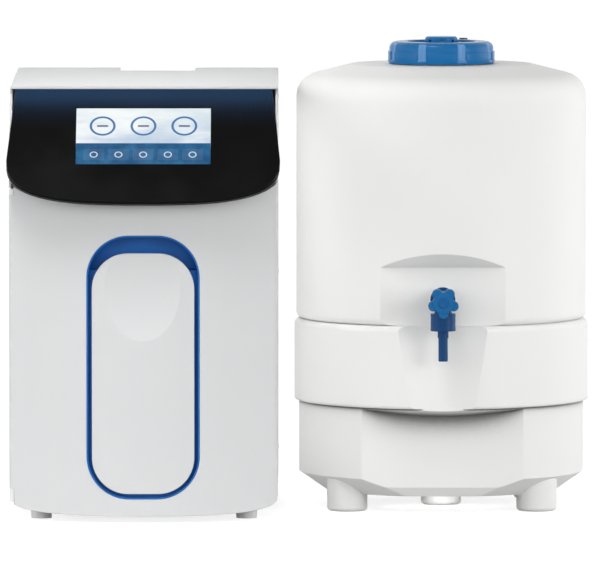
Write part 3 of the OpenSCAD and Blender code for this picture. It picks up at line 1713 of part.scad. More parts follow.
base_tray();
cabinet_feet();
left_side_panel();
right_side_panel();
rear_panel();
top_cover();
head_housing();
head_glass();
display_module();
control_board();
hinge_pins();
upper_hinge_bracket();
door_magnets();
front_door();
door_liner();
grip_panel();
mounting_plate();
cartridge_cradle();
filter_manifold();
pretreatment_cartridge();
membrane_cartridge();
polishing_cartridge();
pump_bracket();
pump_motor();
pump_head();
uv_reactor();
uv_clips();
power_supply();
solenoid_valves();
rear_ports();
rear_port_nuts();
rear_port_rings();
power_inlet();
switch_bezel();
power_rocker();
tank_base();
tank_feet();
tank_barrel();
tank_neck();
tank_ports();
tank_port_nuts();
tank_port_rings();
level_gland();
level_rod();
level_float();
neck_gasket();
lid_disc();
lid_ring();
vent_cap();
vent_filter();
tap_gasket();
tap_body();
tap_nut();
tap_bonnet();
spout_nut();
tap_spout();
tap_disc();
tap_stem();
tap_knob();
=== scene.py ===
import json
import math

import bpy
from mathutils import Matrix, Vector


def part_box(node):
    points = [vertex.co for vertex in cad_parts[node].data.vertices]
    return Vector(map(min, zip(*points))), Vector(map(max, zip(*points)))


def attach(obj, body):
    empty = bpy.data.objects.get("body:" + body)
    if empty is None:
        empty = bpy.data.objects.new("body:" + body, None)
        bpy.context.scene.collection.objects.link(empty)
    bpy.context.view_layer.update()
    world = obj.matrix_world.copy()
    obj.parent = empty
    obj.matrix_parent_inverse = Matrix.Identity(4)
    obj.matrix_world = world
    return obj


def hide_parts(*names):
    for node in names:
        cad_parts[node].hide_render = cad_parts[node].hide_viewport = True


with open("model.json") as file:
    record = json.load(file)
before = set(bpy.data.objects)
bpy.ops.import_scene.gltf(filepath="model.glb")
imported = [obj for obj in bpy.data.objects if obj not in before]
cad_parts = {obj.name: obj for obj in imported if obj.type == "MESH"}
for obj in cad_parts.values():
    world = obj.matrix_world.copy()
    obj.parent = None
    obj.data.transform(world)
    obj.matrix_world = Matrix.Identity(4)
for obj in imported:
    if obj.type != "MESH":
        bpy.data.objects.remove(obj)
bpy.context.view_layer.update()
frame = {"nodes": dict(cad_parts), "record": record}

MM = 0.001
ROOT = "cabinet_and_tank"


def halfway(low, high, axis):
    """The middle of a box along one axis."""
    return (low[axis] + high[axis]) / 2


# Places taken from the solids: the middle of the cabinet, the tank's axis and the sloped glass.
glass_low, glass_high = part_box("head_glass")
barrel_low, barrel_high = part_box("tank_barrel")
cabinet_x = halfway(glass_low, glass_high, 0)
tank_x = halfway(barrel_low, barrel_high, 0)
SLOPE = math.radians(45)
GLASS_THICKNESS = 4 * MM
LIP = Vector((cabinet_x, glass_low[1], glass_low[2] + GLASS_THICKNESS * math.cos(SLOPE)))
UP_SLOPE = Vector((0, math.cos(SLOPE), math.sin(SLOPE)))
OFF_SLOPE = Vector((0, -math.sin(SLOPE), math.cos(SLOPE)))


# Shader building blocks

class Tree:
    """Adds nodes to one node tree and links them by plain calls."""

    def __init__(self, tree):
        self.tree = tree

    def add(self, kind, **values):
        node = self.tree.nodes.new(kind)
        for key, value in values.items():
            setattr(node, key, value)
        return node

    def plug(self, socket, value):
        if isinstance(value, bpy.types.NodeSocket):
            self.tree.links.new(value, socket)
        else:
            socket.default_value = value

    def fill(self, node, values):
        """Plugs several inputs of one node, by their labels."""
        for label, value in values.items():
            self.plug(node.inputs[label], value)

    def math(self, operation, a, b=0.0, clamp=False):
        node = self.add("ShaderNodeMath", operation=operation, use_clamp=clamp)
        self.plug(node.inputs[0], a)
        self.plug(node.inputs[1], b)
        return node.outputs[0]

    def reach(self, a, b):
        """The length of the two sides a and b."""
        return self.math("SQRT", self.math("ADD", self.math("MULTIPLY", a, a), self.math("MULTIPLY", b, b)))

    def away(self, value, middle):
        """How far a value lies from a middle, either way."""
        return self.math("ABSOLUTE", self.math("SUBTRACT", value, middle))

    def fade(self, value, low, high, out_low=0.0, out_high=1.0):
        node = self.add("ShaderNodeMapRange", interpolation_type="SMOOTHSTEP")
        for socket, item in zip(node.inputs, (value, low, high, out_low, out_high)):
            self.plug(socket, item)
        return node.outputs[0]

    def mix(self, factor, a, b):
        node = self.add("ShaderNodeMix", data_type="RGBA")
        self.plug(node.inputs[0], factor)
        self.plug(node.inputs[6], a)
        self.plug(node.inputs[7], b)
        return node.outputs[2]

    def dim(self, color, factor):
        """A colour times a factor."""
        node = self.add("ShaderNodeVectorMath", operation="SCALE")
        self.plug(node.inputs[0], color)
        self.plug(node.inputs["Scale"], factor)
        return node.outputs[0]

    def noise(self, vector, scale, detail=3.0, rough=0.5):
        node = self.add("ShaderNodeTexNoise")
        self.fill(node, {"Vector": vector, "Scale": scale, "Detail": detail, "Roughness": rough})
        return node.outputs[0]

    def place(self):
        return self.add("ShaderNodeTexCoord").outputs["Object"]

    def stretched(self, scale):
        """Object coordinates, scaled along each axis."""
        node = self.add("ShaderNodeMapping")
        self.fill(node, {"Vector": self.place(), "Scale": scale})
        return node.outputs[0]

    def split(self, vector):
        node = self.add("ShaderNodeSeparateXYZ")
        self.plug(node.inputs[0], vector)
        return node.outputs


def new_group(name, inputs, outputs):
    group = bpy.data.node_groups.new(name, "ShaderNodeTree")
    for label, kind, value in inputs:
        socket = group.interface.new_socket(label, in_out="INPUT", socket_type=kind)
        socket.default_value = value
    for label, kind in outputs:
        group.interface.new_socket(label, in_out="OUTPUT", socket_type=kind)
    tree = Tree(group)
    return group, tree, tree.add("NodeGroupInput").outputs, tree.add("NodeGroupOutput").inputs


SKIN_OUTPUTS = [("Color", "NodeSocketColor"), ("Roughness", "NodeSocketFloat"), ("Height", "NodeSocketFloat")]


def moulded_skin_group():
    """Moulded plastic: faint cloudy tone, fine grain in gloss and height."""
    group, t, given, out = new_group(
        "moulded_skin",
        [("Color", "NodeSocketColor", (0.8, 0.8, 0.8, 1)), ("Tone", "NodeSocketFloat", 0.04),
         ("Roughness", "NodeSocketFloat", 0.4), ("Grain", "NodeSocketFloat", 900.0)],
        SKIN_OUTPUTS)
    gloss_swing, grain_height = 0.12, 0.35
    place = t.place()
    cloud = t.noise(place, 9.0, detail=4.0, rough=0.55)
    grain = t.noise(place, given["Grain"], detail=2.0)
    shade = t.math("SUBTRACT", 1.0, t.math("MULTIPLY", cloud, given["Tone"]))
    t.plug(out["Color"], t.dim(given["Color"], shade))
    swing = t.math("MULTIPLY", t.math("SUBTRACT", grain, 0.5), gloss_swing)
    t.plug(out["Roughness"], t.math("ADD", given["Roughness"], swing, clamp=True))
    t.plug(out["Height"], t.math("ADD", t.math("MULTIPLY", grain, grain_height), cloud))
    return group


def brushed_lines_group():
    """Brushed or rolled sheet: long fine lines along one axis in tone, gloss and height."""
    group, t, given, out = new_group(
        "brushed_lines",
        [("Color", "NodeSocketColor", (0.6, 0.6, 0.6, 1)), ("Roughness", "NodeSocketFloat", 0.35)],
        SKIN_OUTPUTS)
    gloss_swing = 0.15
    lines = t.noise(t.stretched((40, 40, 1400)), 1.0, detail=4.0, rough=0.6)
    t.plug(out["Color"], t.dim(given["Color"], t.fade(lines, 0.25, 0.75, 0.9, 1.05)))
    swing = t.math("MULTIPLY", lines, gloss_swing)
    t.plug(out["Roughness"], t.math("ADD", given["Roughness"], swing, clamp=True))
    t.plug(out["Height"], lines)
    return group


MOULDED_SKIN = moulded_skin_group()
BRUSHED_LINES = brushed_lines_group()


def new_finish(name):
    material = bpy.data.materials.new(name)
    material.use_nodes = True
    return material, Tree(material.node_tree), material.node_tree.nodes["Principled BSDF"]


def opened(material):
    """The tree, the shader and the present base colour of a finish that gets a second colour."""
    shader = material.node_tree.nodes["Principled BSDF"]
    return Tree(material.node_tree), shader, shader.inputs["Base Color"].links[0].from_socket


def soft_normal(t, radius):
    """The surface with its edges rounded by the radius, in the shading only."""
    bevel = t.add("ShaderNodeBevel", samples=4)
    bevel.inputs["Radius"].default_value = radius
    return bevel.outputs[0]


def surface_detail(t, shader, height, depth, strength, soft_edge):
    """Bump over edges that are rounded by soft_edge metres in the shading."""
    bump = t.add("ShaderNodeBump")
    t.fill(bump, {"Strength": strength, "Distance": depth, "Height": height})
    if soft_edge:
        t.plug(bump.inputs["Normal"], soft_normal(t, soft_edge))
    t.plug(shader.inputs["Normal"], bump.outputs[0])


# Painted shade: a dark grey mixed into a plastic's colour where ambient occlusion finds faces close by,
# standing in for the shade in its nooks
PAINTED_SHADE_REACH = 45 * MM
PAINTED_SHADE_GREY = (0.06, 0.06, 0.055, 1)
COAT_ROUGHNESS = 0.08
SCATTER_RADIUS = (4 * MM, 4 * MM, 3.5 * MM)
SKIN_DEPTH, LINE_DEPTH, LINE_STRENGTH = 0.25 * MM, 0.1 * MM, 0.15


def plastic(name, color, rough, tone=0.04, grain=900.0, strength=0.12, soft_edge=0.8 * MM, shine=0.5,
            coat=0.0, scatter=0.0, painted_shade=0.0, shade_starts_at=0.94, shade_full_at=0.56):
    """Moulded plastic; an optional painted shade darkens its nooks where ambient occlusion finds faces close
    by, from none at the first occlusion level to all at the second.
    """
    material, t, shader = new_finish(name)
    skin = t.add("ShaderNodeGroup", node_tree=MOULDED_SKIN)
    t.fill(skin, {"Color": (*color, 1), "Tone": tone, "Roughness": rough, "Grain": grain})
    base = skin.outputs["Color"]
    # Painted shade: the closer other faces are, the more dark grey goes into the colour
    if painted_shade:
        shade_occlusion = t.add("ShaderNodeAmbientOcclusion", samples=10, only_local=True)
        shade_occlusion.inputs["Distance"].default_value = PAINTED_SHADE_REACH
        shade_share = t.math("MULTIPLY", t.fade(shade_occlusion.outputs["AO"], shade_starts_at, shade_full_at), painted_shade)
        base = t.mix(shade_share, base, PAINTED_SHADE_GREY)
    t.fill(shader, {
        "Base Color": base, "Roughness": skin.outputs["Roughness"], "Specular IOR Level": shine,
        "Coat Weight": coat, "Coat Roughness": COAT_ROUGHNESS})
    if scatter:
        t.fill(shader, {"Subsurface Weight": scatter, "Subsurface Radius": SCATTER_RADIUS})
    surface_detail(t, shader, skin.outputs["Height"], SKIN_DEPTH, strength, soft_edge)
    return material


def metal(name, color, rough, soft_edge=0.4 * MM):
    material, t, shader = new_finish(name)
    lines = t.add("ShaderNodeGroup", node_tree=BRUSHED_LINES)
    t.fill(lines, {"Color": (*color, 1), "Roughness": rough})
    t.fill(shader, {
        "Base Color": lines.outputs["Color"], "Roughness": lines.outputs["Roughness"], "Metallic": 1.0})
    surface_detail(t, shader, lines.outputs["Height"], LINE_DEPTH, LINE_STRENGTH, soft_edge)
    return material


# The sloped head: printed glass, its screen and the black plate behind it

def slope_place(t):
    """Position on the sloped glass: sideways and up the slope, in millimetres."""
    x, y, z = t.split(t.place())
    side = t.math("MULTIPLY", t.math("SUBTRACT", x, LIP.x), 1 / MM)
    along_y = t.math("MULTIPLY", t.math("SUBTRACT", y, LIP.y), UP_SLOPE.y / MM)
    along_z = t.math("MULTIPLY", t.math("SUBTRACT", z, LIP.z), UP_SLOPE.z / MM)
    return side, t.math("ADD", along_y, along_z)


# Millimetres up the slope: where the navy glow and its dots begin, and the upper edge.
GLOW_START, DOT_START, GLASS_TOP = 120.0, 138.0, 192.0
DOT_PITCH, DOT_LARGEST, DOT_EDGE = 3.4, 0.62, 0.05
CELLS_AHEAD = 1000
PRINT_BLACK = (0.0018, 0.0019, 0.0020, 1)
PRINT_GLOW = (0.0056, 0.0125, 0.026, 1)
PRINT_NAVY = (0.0108, 0.0285, 0.063, 1)


def dotted_glass():
    """Black printed glass; a navy dot screen grows towards the upper edge."""
    material, t, shader = new_finish("black_printed_glass")
    side, along = slope_place(t)
    offsets = []
    for axis in (t.math("ADD", side, along), t.math("SUBTRACT", side, along)):
        # The cells count from far outside the glass, so that none of them has a negative number.
        ahead = t.math("ADD", axis, CELLS_AHEAD * DOT_PITCH)
        offsets.append(t.math("SUBTRACT", t.math("FRACT", t.math("DIVIDE", ahead, DOT_PITCH)), 0.5))
    size = t.fade(along, DOT_START, GLASS_TOP, 0.0, DOT_LARGEST)
    dot = t.fade(t.math("SUBTRACT", size, t.reach(*offsets)), -DOT_EDGE, DOT_EDGE)
    ground = t.mix(t.fade(along, GLOW_START, GLASS_TOP), PRINT_BLACK, PRINT_GLOW)
    smear = t.noise(t.place(), 14.0)
    t.fill(shader, {
        "Base Color": t.mix(dot, ground, PRINT_NAVY), "Roughness": t.fade(smear, 0.3, 0.75, 0.07, 0.16),
        "Specular IOR Level": 0.04, "Normal": soft_normal(t, 0.6 * MM)})
    return material


def box_mask(t, side, along, x, v, width, height, edge=0.5):
    """1 inside a rectangle round a point on the slope, 0 outside."""
    over_x = t.math("SUBTRACT", t.away(side, x), width / 2)
    over_v = t.math("SUBTRACT", t.away(along, v), height / 2)
    return t.fade(t.math("MAXIMUM", over_x, over_v), edge / 2, -edge / 2)


def ring_mask(t, side, along, x, v, radius, width, edge=0.7):
    """1 on a ring round a point on the slope, 0 elsewhere."""
    reach = t.reach(t.math("SUBTRACT", side, x), t.math("SUBTRACT", along, v))
    off = t.math("SUBTRACT", t.away(reach, radius), width / 2)
    return t.fade(off, edge / 2, -edge / 2)


# The status page, in millimetres up and across the slope from the lip's middle.
SCREEN_LOW, SCREEN_HIGH = 63.6, 159.1
FIELD_TOP, FIELD_EDGE = SCREEN_LOW + 36.0, 0.4
DIALS, DIAL_V, DIAL_RADIUS, DIAL_LINE = (-52.0, 0.0, 52.0), 129.0, 15.0, 3.0
DASH_WIDTH, DASH_HEIGHT = 14.0, 2.8
TILES, TILE_STEP, TILE_V = 5, 31.4, SCREEN_LOW + 16.5
TILE_WIDTH, TILE_HEIGHT, TILE_SHOW = 26.4, 19.0, 0.04
MARK_RADIUS, MARK_LINE, MARK_SHOW = 4.4, 1.4, 0.75
SKY_LOW, SKY_HIGH = (0.44, 0.55, 0.68, 1), (0.62, 0.71, 0.76, 1)
CLOUD_WHITE, CLOUD_SHOW = (0.86, 0.88, 0.87, 1), 0.85
FIELD_DEEP, FIELD_LIGHT = (0.002, 0.065, 0.18, 1), (0.012, 0.13, 0.29, 1)
DIAL_BLUE, DASH_BLUE = (0.05, 0.16, 0.36, 1), (0.08, 0.12, 0.20, 1)
TILE_BLUE, MARK_WHITE = (0.55, 0.72, 0.86, 1), (0.78, 0.86, 0.92, 1)
UNLIT_SCREEN, UNLIT_SHARE, SCREEN_GLOW = (0.004, 0.004, 0.005, 1), 0.9, 0.95


def display_picture():
    """A plain status page: pale cloudy sky above, a blue field below, three dials and a row of tiles."""
    material, t, shader = new_finish("display_picture")
    side, along = slope_place(t)
    cloud = t.fade(t.noise(t.stretched((9, 26, 26)), 1.0, detail=5.0, rough=0.6), 0.35, 0.68)
    sky = t.mix(t.fade(along, FIELD_TOP, SCREEN_HIGH), SKY_LOW, SKY_HIGH)
    color = t.mix(t.math("MULTIPLY", cloud, CLOUD_SHOW), sky, CLOUD_WHITE)
    field = t.fade(along, FIELD_TOP + FIELD_EDGE, FIELD_TOP - FIELD_EDGE)
    ripple = t.fade(t.noise(t.place(), 60.0, detail=4.0), 0.3, 0.75)
    color = t.mix(field, color, t.mix(ripple, FIELD_DEEP, FIELD_LIGHT))
    for x in DIALS:
        color = t.mix(ring_mask(t, side, along, x, DIAL_V, DIAL_RADIUS, DIAL_LINE), color, DIAL_BLUE)
        color = t.mix(box_mask(t, side, along, x, DIAL_V, DASH_WIDTH, DASH_HEIGHT), color, DASH_BLUE)
    for i in range(TILES):
        x = (i - (TILES - 1) / 2) * TILE_STEP
        tile = box_mask(t, side, along, x, TILE_V, TILE_WIDTH, TILE_HEIGHT)
        color = t.mix(t.math("MULTIPLY", tile, TILE_SHOW), color, TILE_BLUE)
        mark = ring_mask(t, side, along, x, TILE_V, MARK_RADIUS, MARK_LINE)
        color = t.mix(t.math("MULTIPLY", mark, MARK_SHOW), color, MARK_WHITE)
    smear = t.noise(t.place(), 30.0)
    t.fill(shader, {
        "Base Color": t.mix(UNLIT_SHARE, color, UNLIT_SCREEN), "Emission Color": color,
        "Emission Strength": SCREEN_GLOW, "Specular IOR Level": 0.1,
        "Roughness": t.fade(smear, 0.3, 0.7, 0.12, 0.2)})
    return material


# What finishes of one kind share

CASING = dict(color=(0.625, 0.63, 0.635), rough=0.42, tone=0.03, grain=1100.0, strength=0.10, shine=0.3)
TANK = dict(color=(0.805, 0.805, 0.79), rough=0.48, grain=420.0, soft_edge=1.5 * MM, shine=0.3, scatter=0.05)
CAP = dict(color=(0.002, 0.126, 0.34), rough=0.22, tone=0.06, strength=0.06, shine=0.22)
TAP = dict(rough=0.26, tone=0.06, strength=0.06)

# How far behind the lip's plane the casing turns from white to black.
PLATE_BACK, PLATE_FRONT = -8.0 * MM, -7.5 * MM
PLATE_BLACK = (0.008, 0.008, 0.009, 1)


def black_faced_casing():
    """White casing whose plate behind the glass is black."""
    material = plastic("casing_black_faced", soft_edge=0.4 * MM, **CASING)
    t, shader, white = opened(material)
    _, y, z = t.split(t.place())
    out_y = t.math("MULTIPLY", t.math("SUBTRACT", y, LIP.y), OFF_SLOPE.y)
    out_z = t.math("MULTIPLY", t.math("SUBTRACT", z, LIP.z), OFF_SLOPE.z)
    face = t.fade(t.math("ADD", out_y, out_z), PLATE_BACK, PLATE_FRONT)
    t.plug(shader.inputs["Base Color"], t.mix(face, white, PLATE_BLACK))
    return material


# By material slot: name, colour, roughness, tone, grain, bump strength and soft edge
FINISHES = {
    "casing": plastic("casing_white", soft_edge=1.2 * MM, **CASING),
    "painted_sheet": plastic("painted_sheet_white", (0.76, 0.77, 0.78), 0.45, 0.04, 700.0, 0.18, 0.6 * MM),
    # The tank's white carries painted shade in its nooks and under its overhangs
    "tank_plastic": plastic("tank_white", painted_shade=0.8, **TANK),
    "trim_blue": plastic("channel_blue", (0.012, 0.135, 0.46), 0.34, 0.06, 900.0, 0.08, 0.6 * MM, shine=0.2),
    "cap_blue": plastic("cap_blue", soft_edge=1.2 * MM, **CAP),
    "tap_blue": plastic("tap_blue", (0.004, 0.054, 0.17), shine=0.16, **TAP),
    "black_glass": dotted_glass(),
    "display": display_picture(),
    "board": plastic("board_green", (0.02, 0.12, 0.055), 0.35, 0.15, 300.0, 0.2, 0.0),
    "steel": metal("brushed_steel", (0.62, 0.63, 0.64), 0.28),
    "dark_plastic": plastic("dark_plastic", (0.018, 0.019, 0.021), 0.42, 0.10, 1000.0, 0.2, 0.5 * MM),
    "pale_plastic": plastic("pale_plastic", (0.70, 0.72, 0.73), 0.36, 0.05),
    "membrane_white": plastic("filter_white", (0.83, 0.83, 0.81), 0.5, 0.06, 600.0, 0.15),
    "resin_amber": plastic("resin_amber", (0.40, 0.19, 0.045), 0.25, 0.35, 260.0, 0.3, coat=0.4),
    "rubber_grey": plastic("rubber_grey", (0.16, 0.17, 0.18), 0.75, 0.15, 700.0, 0.35),
    "seal": plastic("seal_grey", (0.50, 0.51, 0.52), 0.6, 0.08, 800.0, 0.25, 0.3 * MM),
}
# By node, where one piece differs from the rest of its slot
OWN_FINISHES = {
    "head_housing": black_faced_casing(),
    # Painted light: the knob and the bonnet take lighter copies of the tap's blue, the knob the lightest, as
    # if lit from above; the rest of the tap keeps the darker blue
    "tap_knob": plastic("tap_blue_painted_lit", (0.005, 0.125, 0.33), shine=0.18, **TAP),
    "tap_bonnet": plastic("tap_blue_painted_half_lit", (0.004, 0.100, 0.30), shine=0.18, **TAP),
    # The tank's base carries stronger painted shade, for the dark shadow under the band's overhang
    "tank_base": plastic("tank_base_white", painted_shade=1.0, shade_starts_at=0.95, shade_full_at=0.68, **TANK),
    "cabinet_feet": plastic("rubber_pale", (0.82, 0.82, 0.81), 0.7, 0.10, 700.0, 0.3, shine=0.2),
}
for part in frame["record"]["subparts"]:
    node = frame["nodes"][part["node"]]
    for holder in node.material_slots:
        holder.material = OWN_FINISHES.get(part["node"], FINISHES[part["material_slot"]])


# Modelling by hand: all lengths in metres

SMOOTH_UNDER = math.radians(35)


def clear_selection():
    if bpy.context.object and bpy.context.object.mode != "OBJECT":
        bpy.ops.object.mode_set(mode="OBJECT")
    bpy.ops.object.select_all(action="DESELECT")


def pick(piece):
    """Makes the piece the only one selected, and the active one."""
    clear_selection()
    piece.select_set(True)
    bpy.context.view_layer.objects.active = piece


def settle(piece, name, slot, body):
    """Puts the piece's place into its mesh, names it, finishes it and lets it ride."""
    pick(piece)
    bpy.ops.object.transform_apply(location=True, rotation=True, scale=True)
    bpy.ops.object.shade_smooth_by_angle(angle=SMOOTH_UNDER)
    piece.name = name
    piece.data.name = name
    piece.data.materials.clear()
    piece.data.materials.append(FINISHES[slot])
    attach(piece, body)
    return piece


def face_pick(piece, wanted):
    """In edit mode, selects the faces that wanted(face) accepts."""
    bpy.ops.object.mode_set(mode="OBJECT")
    for face in piece.data.polygons:
        face.select = wanted(face)
    for edge in piece.data.edges:
        edge.select = False
    for vertex in piece.data.vertices:
        vertex.select = False
    for face in piece.data.polygons:
        if face.select:
            for index in face.vertices:
                piece.data.vertices[index].select = True
    bpy.ops.object.mode_set(mode="EDIT")
    bpy.ops.mesh.select_mode(type="FACE")


def faces_up(face):
    return face.normal.z > 0.9


def faces_down(face):
    return face.normal.z < -0.9


def lies_flat(face):
    """Stricter than faces_up: it leaves out the sloped faces of a bevel."""
    return face.normal.z > 0.99


def blank(radius, height, sides, x=0.0, y=0.0, low=0.0):
    """A round blank that stands on z = low, with its place in its mesh."""
    clear_selection()
    bpy.ops.mesh.primitive_cylinder_add(
        vertices=sides, radius=radius, depth=height, location=(x, y, low + height / 2))
    bpy.ops.object.transform_apply(location=True)
    return bpy.context.object


def push(distance):
    """Extrudes the selected faces along Z."""
    bpy.ops.mesh.extrude_region_move(TRANSFORM_OT_translate={"value": (0, 0, distance)})


def round_rim(offset, segments):
    """Rounds the edges round the selected faces."""
    bpy.ops.mesh.bevel(offset=offset, segments=segments, affect="EDGES")


def copies(pattern, places):
    """A copy of the pattern's mesh at each place; the pattern is used up."""
    made = []
    for matrix in places:
        copy = pattern.copy()
        copy.data = pattern.data.copy()
        bpy.context.collection.objects.link(copy)
        copy.data.transform(matrix)
        made.append(copy)
    bpy.data.objects.remove(pattern)
    return made


def copies_of(pattern, places, name, slot, body):
    """One settled object that holds a copy of the pattern at each place."""
    made = copies(pattern, places)
    clear_selection()
    for copy in made:
        copy.select_set(True)
    bpy.context.view_layer.objects.active = made[0]
    if len(made) > 1:
        bpy.ops.object.join()
    return settle(bpy.context.object, name, slot, body)


def looking(direction, at):
    """Turns +Z towards direction and moves to the point."""
    turn = Vector((0, 0, 1)).rotation_difference(Vector(direction))
    return Matrix.Translation(at) @ turn.to_matrix().to_4x4()


def surface_spot(node, start, direction):
    """Where a line from start first meets a node's solid, and the way its face looks there."""
    hit, at, normal, _ = frame["nodes"][node].ray_cast(Vector(start), Vector(direction))
    if not hit:
        raise RuntimeError("no face of " + node + " on that line")
    return at, normal


# Screws of the rear and side panels

REAR_SCREW_RADIUS, REAR_SCREW_HEIGHT, REAR_SCREW_INSET = 3.4 * MM, 1.9 * MM, 9 * MM
REAR_SCREW_LEVELS = (0.05, 0.18, 0.31, 0.44, 0.52)
SIDE_SCREW_RADIUS, SIDE_SCREW_HEIGHT, SIDE_SCREW_INSET = 3.0 * MM, 1.2 * MM, 12 * MM
SIDE_SCREW_LEVELS = (0.06, 0.29, 0.52)
SIDE_SCREW_SINK = 0.9 * MM
HEAD_ROUND, SOCKET_RIM, SOCKET_DEPTH, SOCKET_FLOOR = 0.7 * MM, 0.3, 0.9 * MM, 0.25 * MM


def screw_head(radius, height):
    """A pan-head screw with a round socket, its seat on z = 0, head towards +Z."""
    head = blank(radius, height, sides=24)
    face_pick(head, faces_up)
    round_rim(HEAD_ROUND, segments=3)
    face_pick(head, lies_flat)
    bpy.ops.mesh.inset(thickness=radius * SOCKET_RIM)
    push(-SOCKET_DEPTH)
    bpy.ops.mesh.inset(thickness=SOCKET_FLOOR)
    bpy.ops.object.mode_set(mode="OBJECT")
    return head


rear_low, rear_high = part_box("rear_panel")
left_low, left_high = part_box("left_side_panel")
right_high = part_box("right_side_panel")[1]

rear_screw_places = [
    looking((0, 1, 0), (x, rear_high[1], z))
    for x in (rear_low[0] + REAR_SCREW_INSET, rear_high[0] - REAR_SCREW_INSET)
    for z in REAR_SCREW_LEVELS]
copies_of(screw_head(REAR_SCREW_RADIUS, REAR_SCREW_HEIGHT), rear_screw_places,
          "rear_panel_screws", "steel", ROOT)

side_screw_places = [
    looking((way, 0, 0), (x, left_high[1] - SIDE_SCREW_INSET, z))
    for way, x in ((-1, left_low[0] + SIDE_SCREW_SINK), (1, right_high[0] - SIDE_SCREW_SINK))
    for z in SIDE_SCREW_LEVELS]
copies_of(screw_head(SIDE_SCREW_RADIUS, SIDE_SCREW_HEIGHT), side_screw_places,
          "side_panel_screws", "casing", ROOT)


# The cap's screw ring with its eight grip flutes

RING_LOW, RING_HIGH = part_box("lid_ring")
RING_AXIS = Vector((tank_x, halfway(RING_LOW, RING_HIGH, 1), 0))
RING_BODY, RING_FLANGE, RING_BORE, RING_OPENING = 67.4 * MM, 69.0 * MM, 58.4 * MM, 44.8 * MM
RING_ROUND, ROUND_STEPS, FLANGE_HEIGHT = 9.0 * MM, 7, 15.0 * MM
RING_TOP = RING_HIGH[2] + 2.5 * MM
RING_CEILING = RING_HIGH[2] - 4.5 * MM
RING_SIDES = 128
FLUTES = 8
FLUTE_TURN = 2 * math.pi / FLUTES
FLUTE_RADIUS, FLUTE_DEPTH, FLUTE_START, FLUTE_ROUND = 7.0 * MM, 3.0 * MM, 4.0 * MM, 2.0 * MM
FLUTE_FLOOR = RING_BODY - FLUTE_DEPTH
# Painted highlight: a paler blue on the floor of every flute, standing in for a lamp's glint on the glossy
# ring
HIGHLIGHT_INNER, HIGHLIGHT_OUTER = FLUTE_FLOOR - 0.9 * MM, FLUTE_FLOOR - 0.2 * MM
HIGHLIGHT_HALF, HIGHLIGHT_CORE = 6.0 * MM, 4.4 * MM
HIGHLIGHT_BLUE, HIGHLIGHT_SHOW = (0.17, 0.37, 0.66, 1), 0.62
RING_EDGE, RING_EDGE_OVER = 0.5 * MM, math.radians(40)


def fluted_cap_blue():
    """The cap's blue, with a painted highlight: paler on the floor of each grip flute."""
    material = plastic("cap_blue_fluted", **CAP)
    t, shader, blue = opened(material)
    x, y, z = t.split(t.place())
    across, along = t.math("SUBTRACT", x, RING_AXIS.x), t.math("SUBTRACT", y, RING_AXIS.y)
    turn = t.math("ARCTAN2", along, across)
    outer = t.fade(t.reach(across, along), HIGHLIGHT_INNER, HIGHLIGHT_OUTER)
    cell = t.math("FRACT", t.math("ADD", t.math("DIVIDE", turn, FLUTE_TURN), FLUTES))
    off = t.math("MULTIPLY", t.away(cell, 0.5), FLUTE_TURN * RING_BODY)
    above = t.fade(z, RING_LOW[2] + 0.8 * FLUTE_START, RING_LOW[2] + FLUTE_START)
    floor = t.math("MULTIPLY", t.fade(off, HIGHLIGHT_HALF, HIGHLIGHT_CORE), above)
    # Painted highlight: how much of the paler blue goes in
    pale = t.math("MULTIPLY", t.math("MULTIPLY", floor, outer), HIGHLIGHT_SHOW)
    t.plug(shader.inputs["Base Color"], t.mix(pale, blue, HIGHLIGHT_BLUE))
    return material


def plain_ring():
    """The ring before its flutes: a flange, a rounded body, a bore and an opening in its top."""
    ring = blank(RING_FLANGE, FLANGE_HEIGHT, RING_SIDES, RING_AXIS.x, RING_AXIS.y, RING_LOW[2])
    face_pick(ring, faces_up)
    bpy.ops.mesh.inset(thickness=RING_FLANGE - RING_BODY)
    push(RING_TOP - RING_ROUND - RING_LOW[2] - FLANGE_HEIGHT)
    for i in range(ROUND_STEPS):
        a, b = (math.pi / 2 * k / ROUND_STEPS for k in (i, i + 1))
        bpy.ops.mesh.inset(thickness=RING_ROUND * (math.cos(a) - math.cos(b)))
        bpy.ops.transform.translate(value=(0, 0, RING_ROUND * (math.sin(b) - math.sin(a))))
    bpy.ops.mesh.inset(thickness=RING_BODY - RING_ROUND - RING_OPENING)
    face_pick(ring, faces_down)
    bpy.ops.mesh.inset(thickness=RING_FLANGE - RING_BORE)
    push(RING_CEILING - RING_LOW[2])
    bpy.ops.mesh.inset(thickness=RING_BORE - RING_OPENING)
    face_pick(ring, lambda face: len(face.vertices) == RING_SIDES)
    bpy.ops.mesh.bridge_edge_loops()
    bpy.ops.object.mode_set(mode="OBJECT")
    return ring


def flute_cutters():
    """Round bars with a rounded lower end, one where each flute goes."""
    cutter = blank(FLUTE_RADIUS, RING_TOP - RING_LOW[2], sides=48,
                   x=FLUTE_FLOOR + FLUTE_RADIUS, low=RING_LOW[2] + FLUTE_START)
    face_pick(cutter, faces_down)
    round_rim(FLUTE_ROUND, segments=4)
    bpy.ops.object.mode_set(mode="OBJECT")
    return copies(cutter, [
        Matrix.Translation(RING_AXIS) @ Matrix.Rotation((i + 0.5) * FLUTE_TURN, 4, "Z")
        for i in range(FLUTES)])


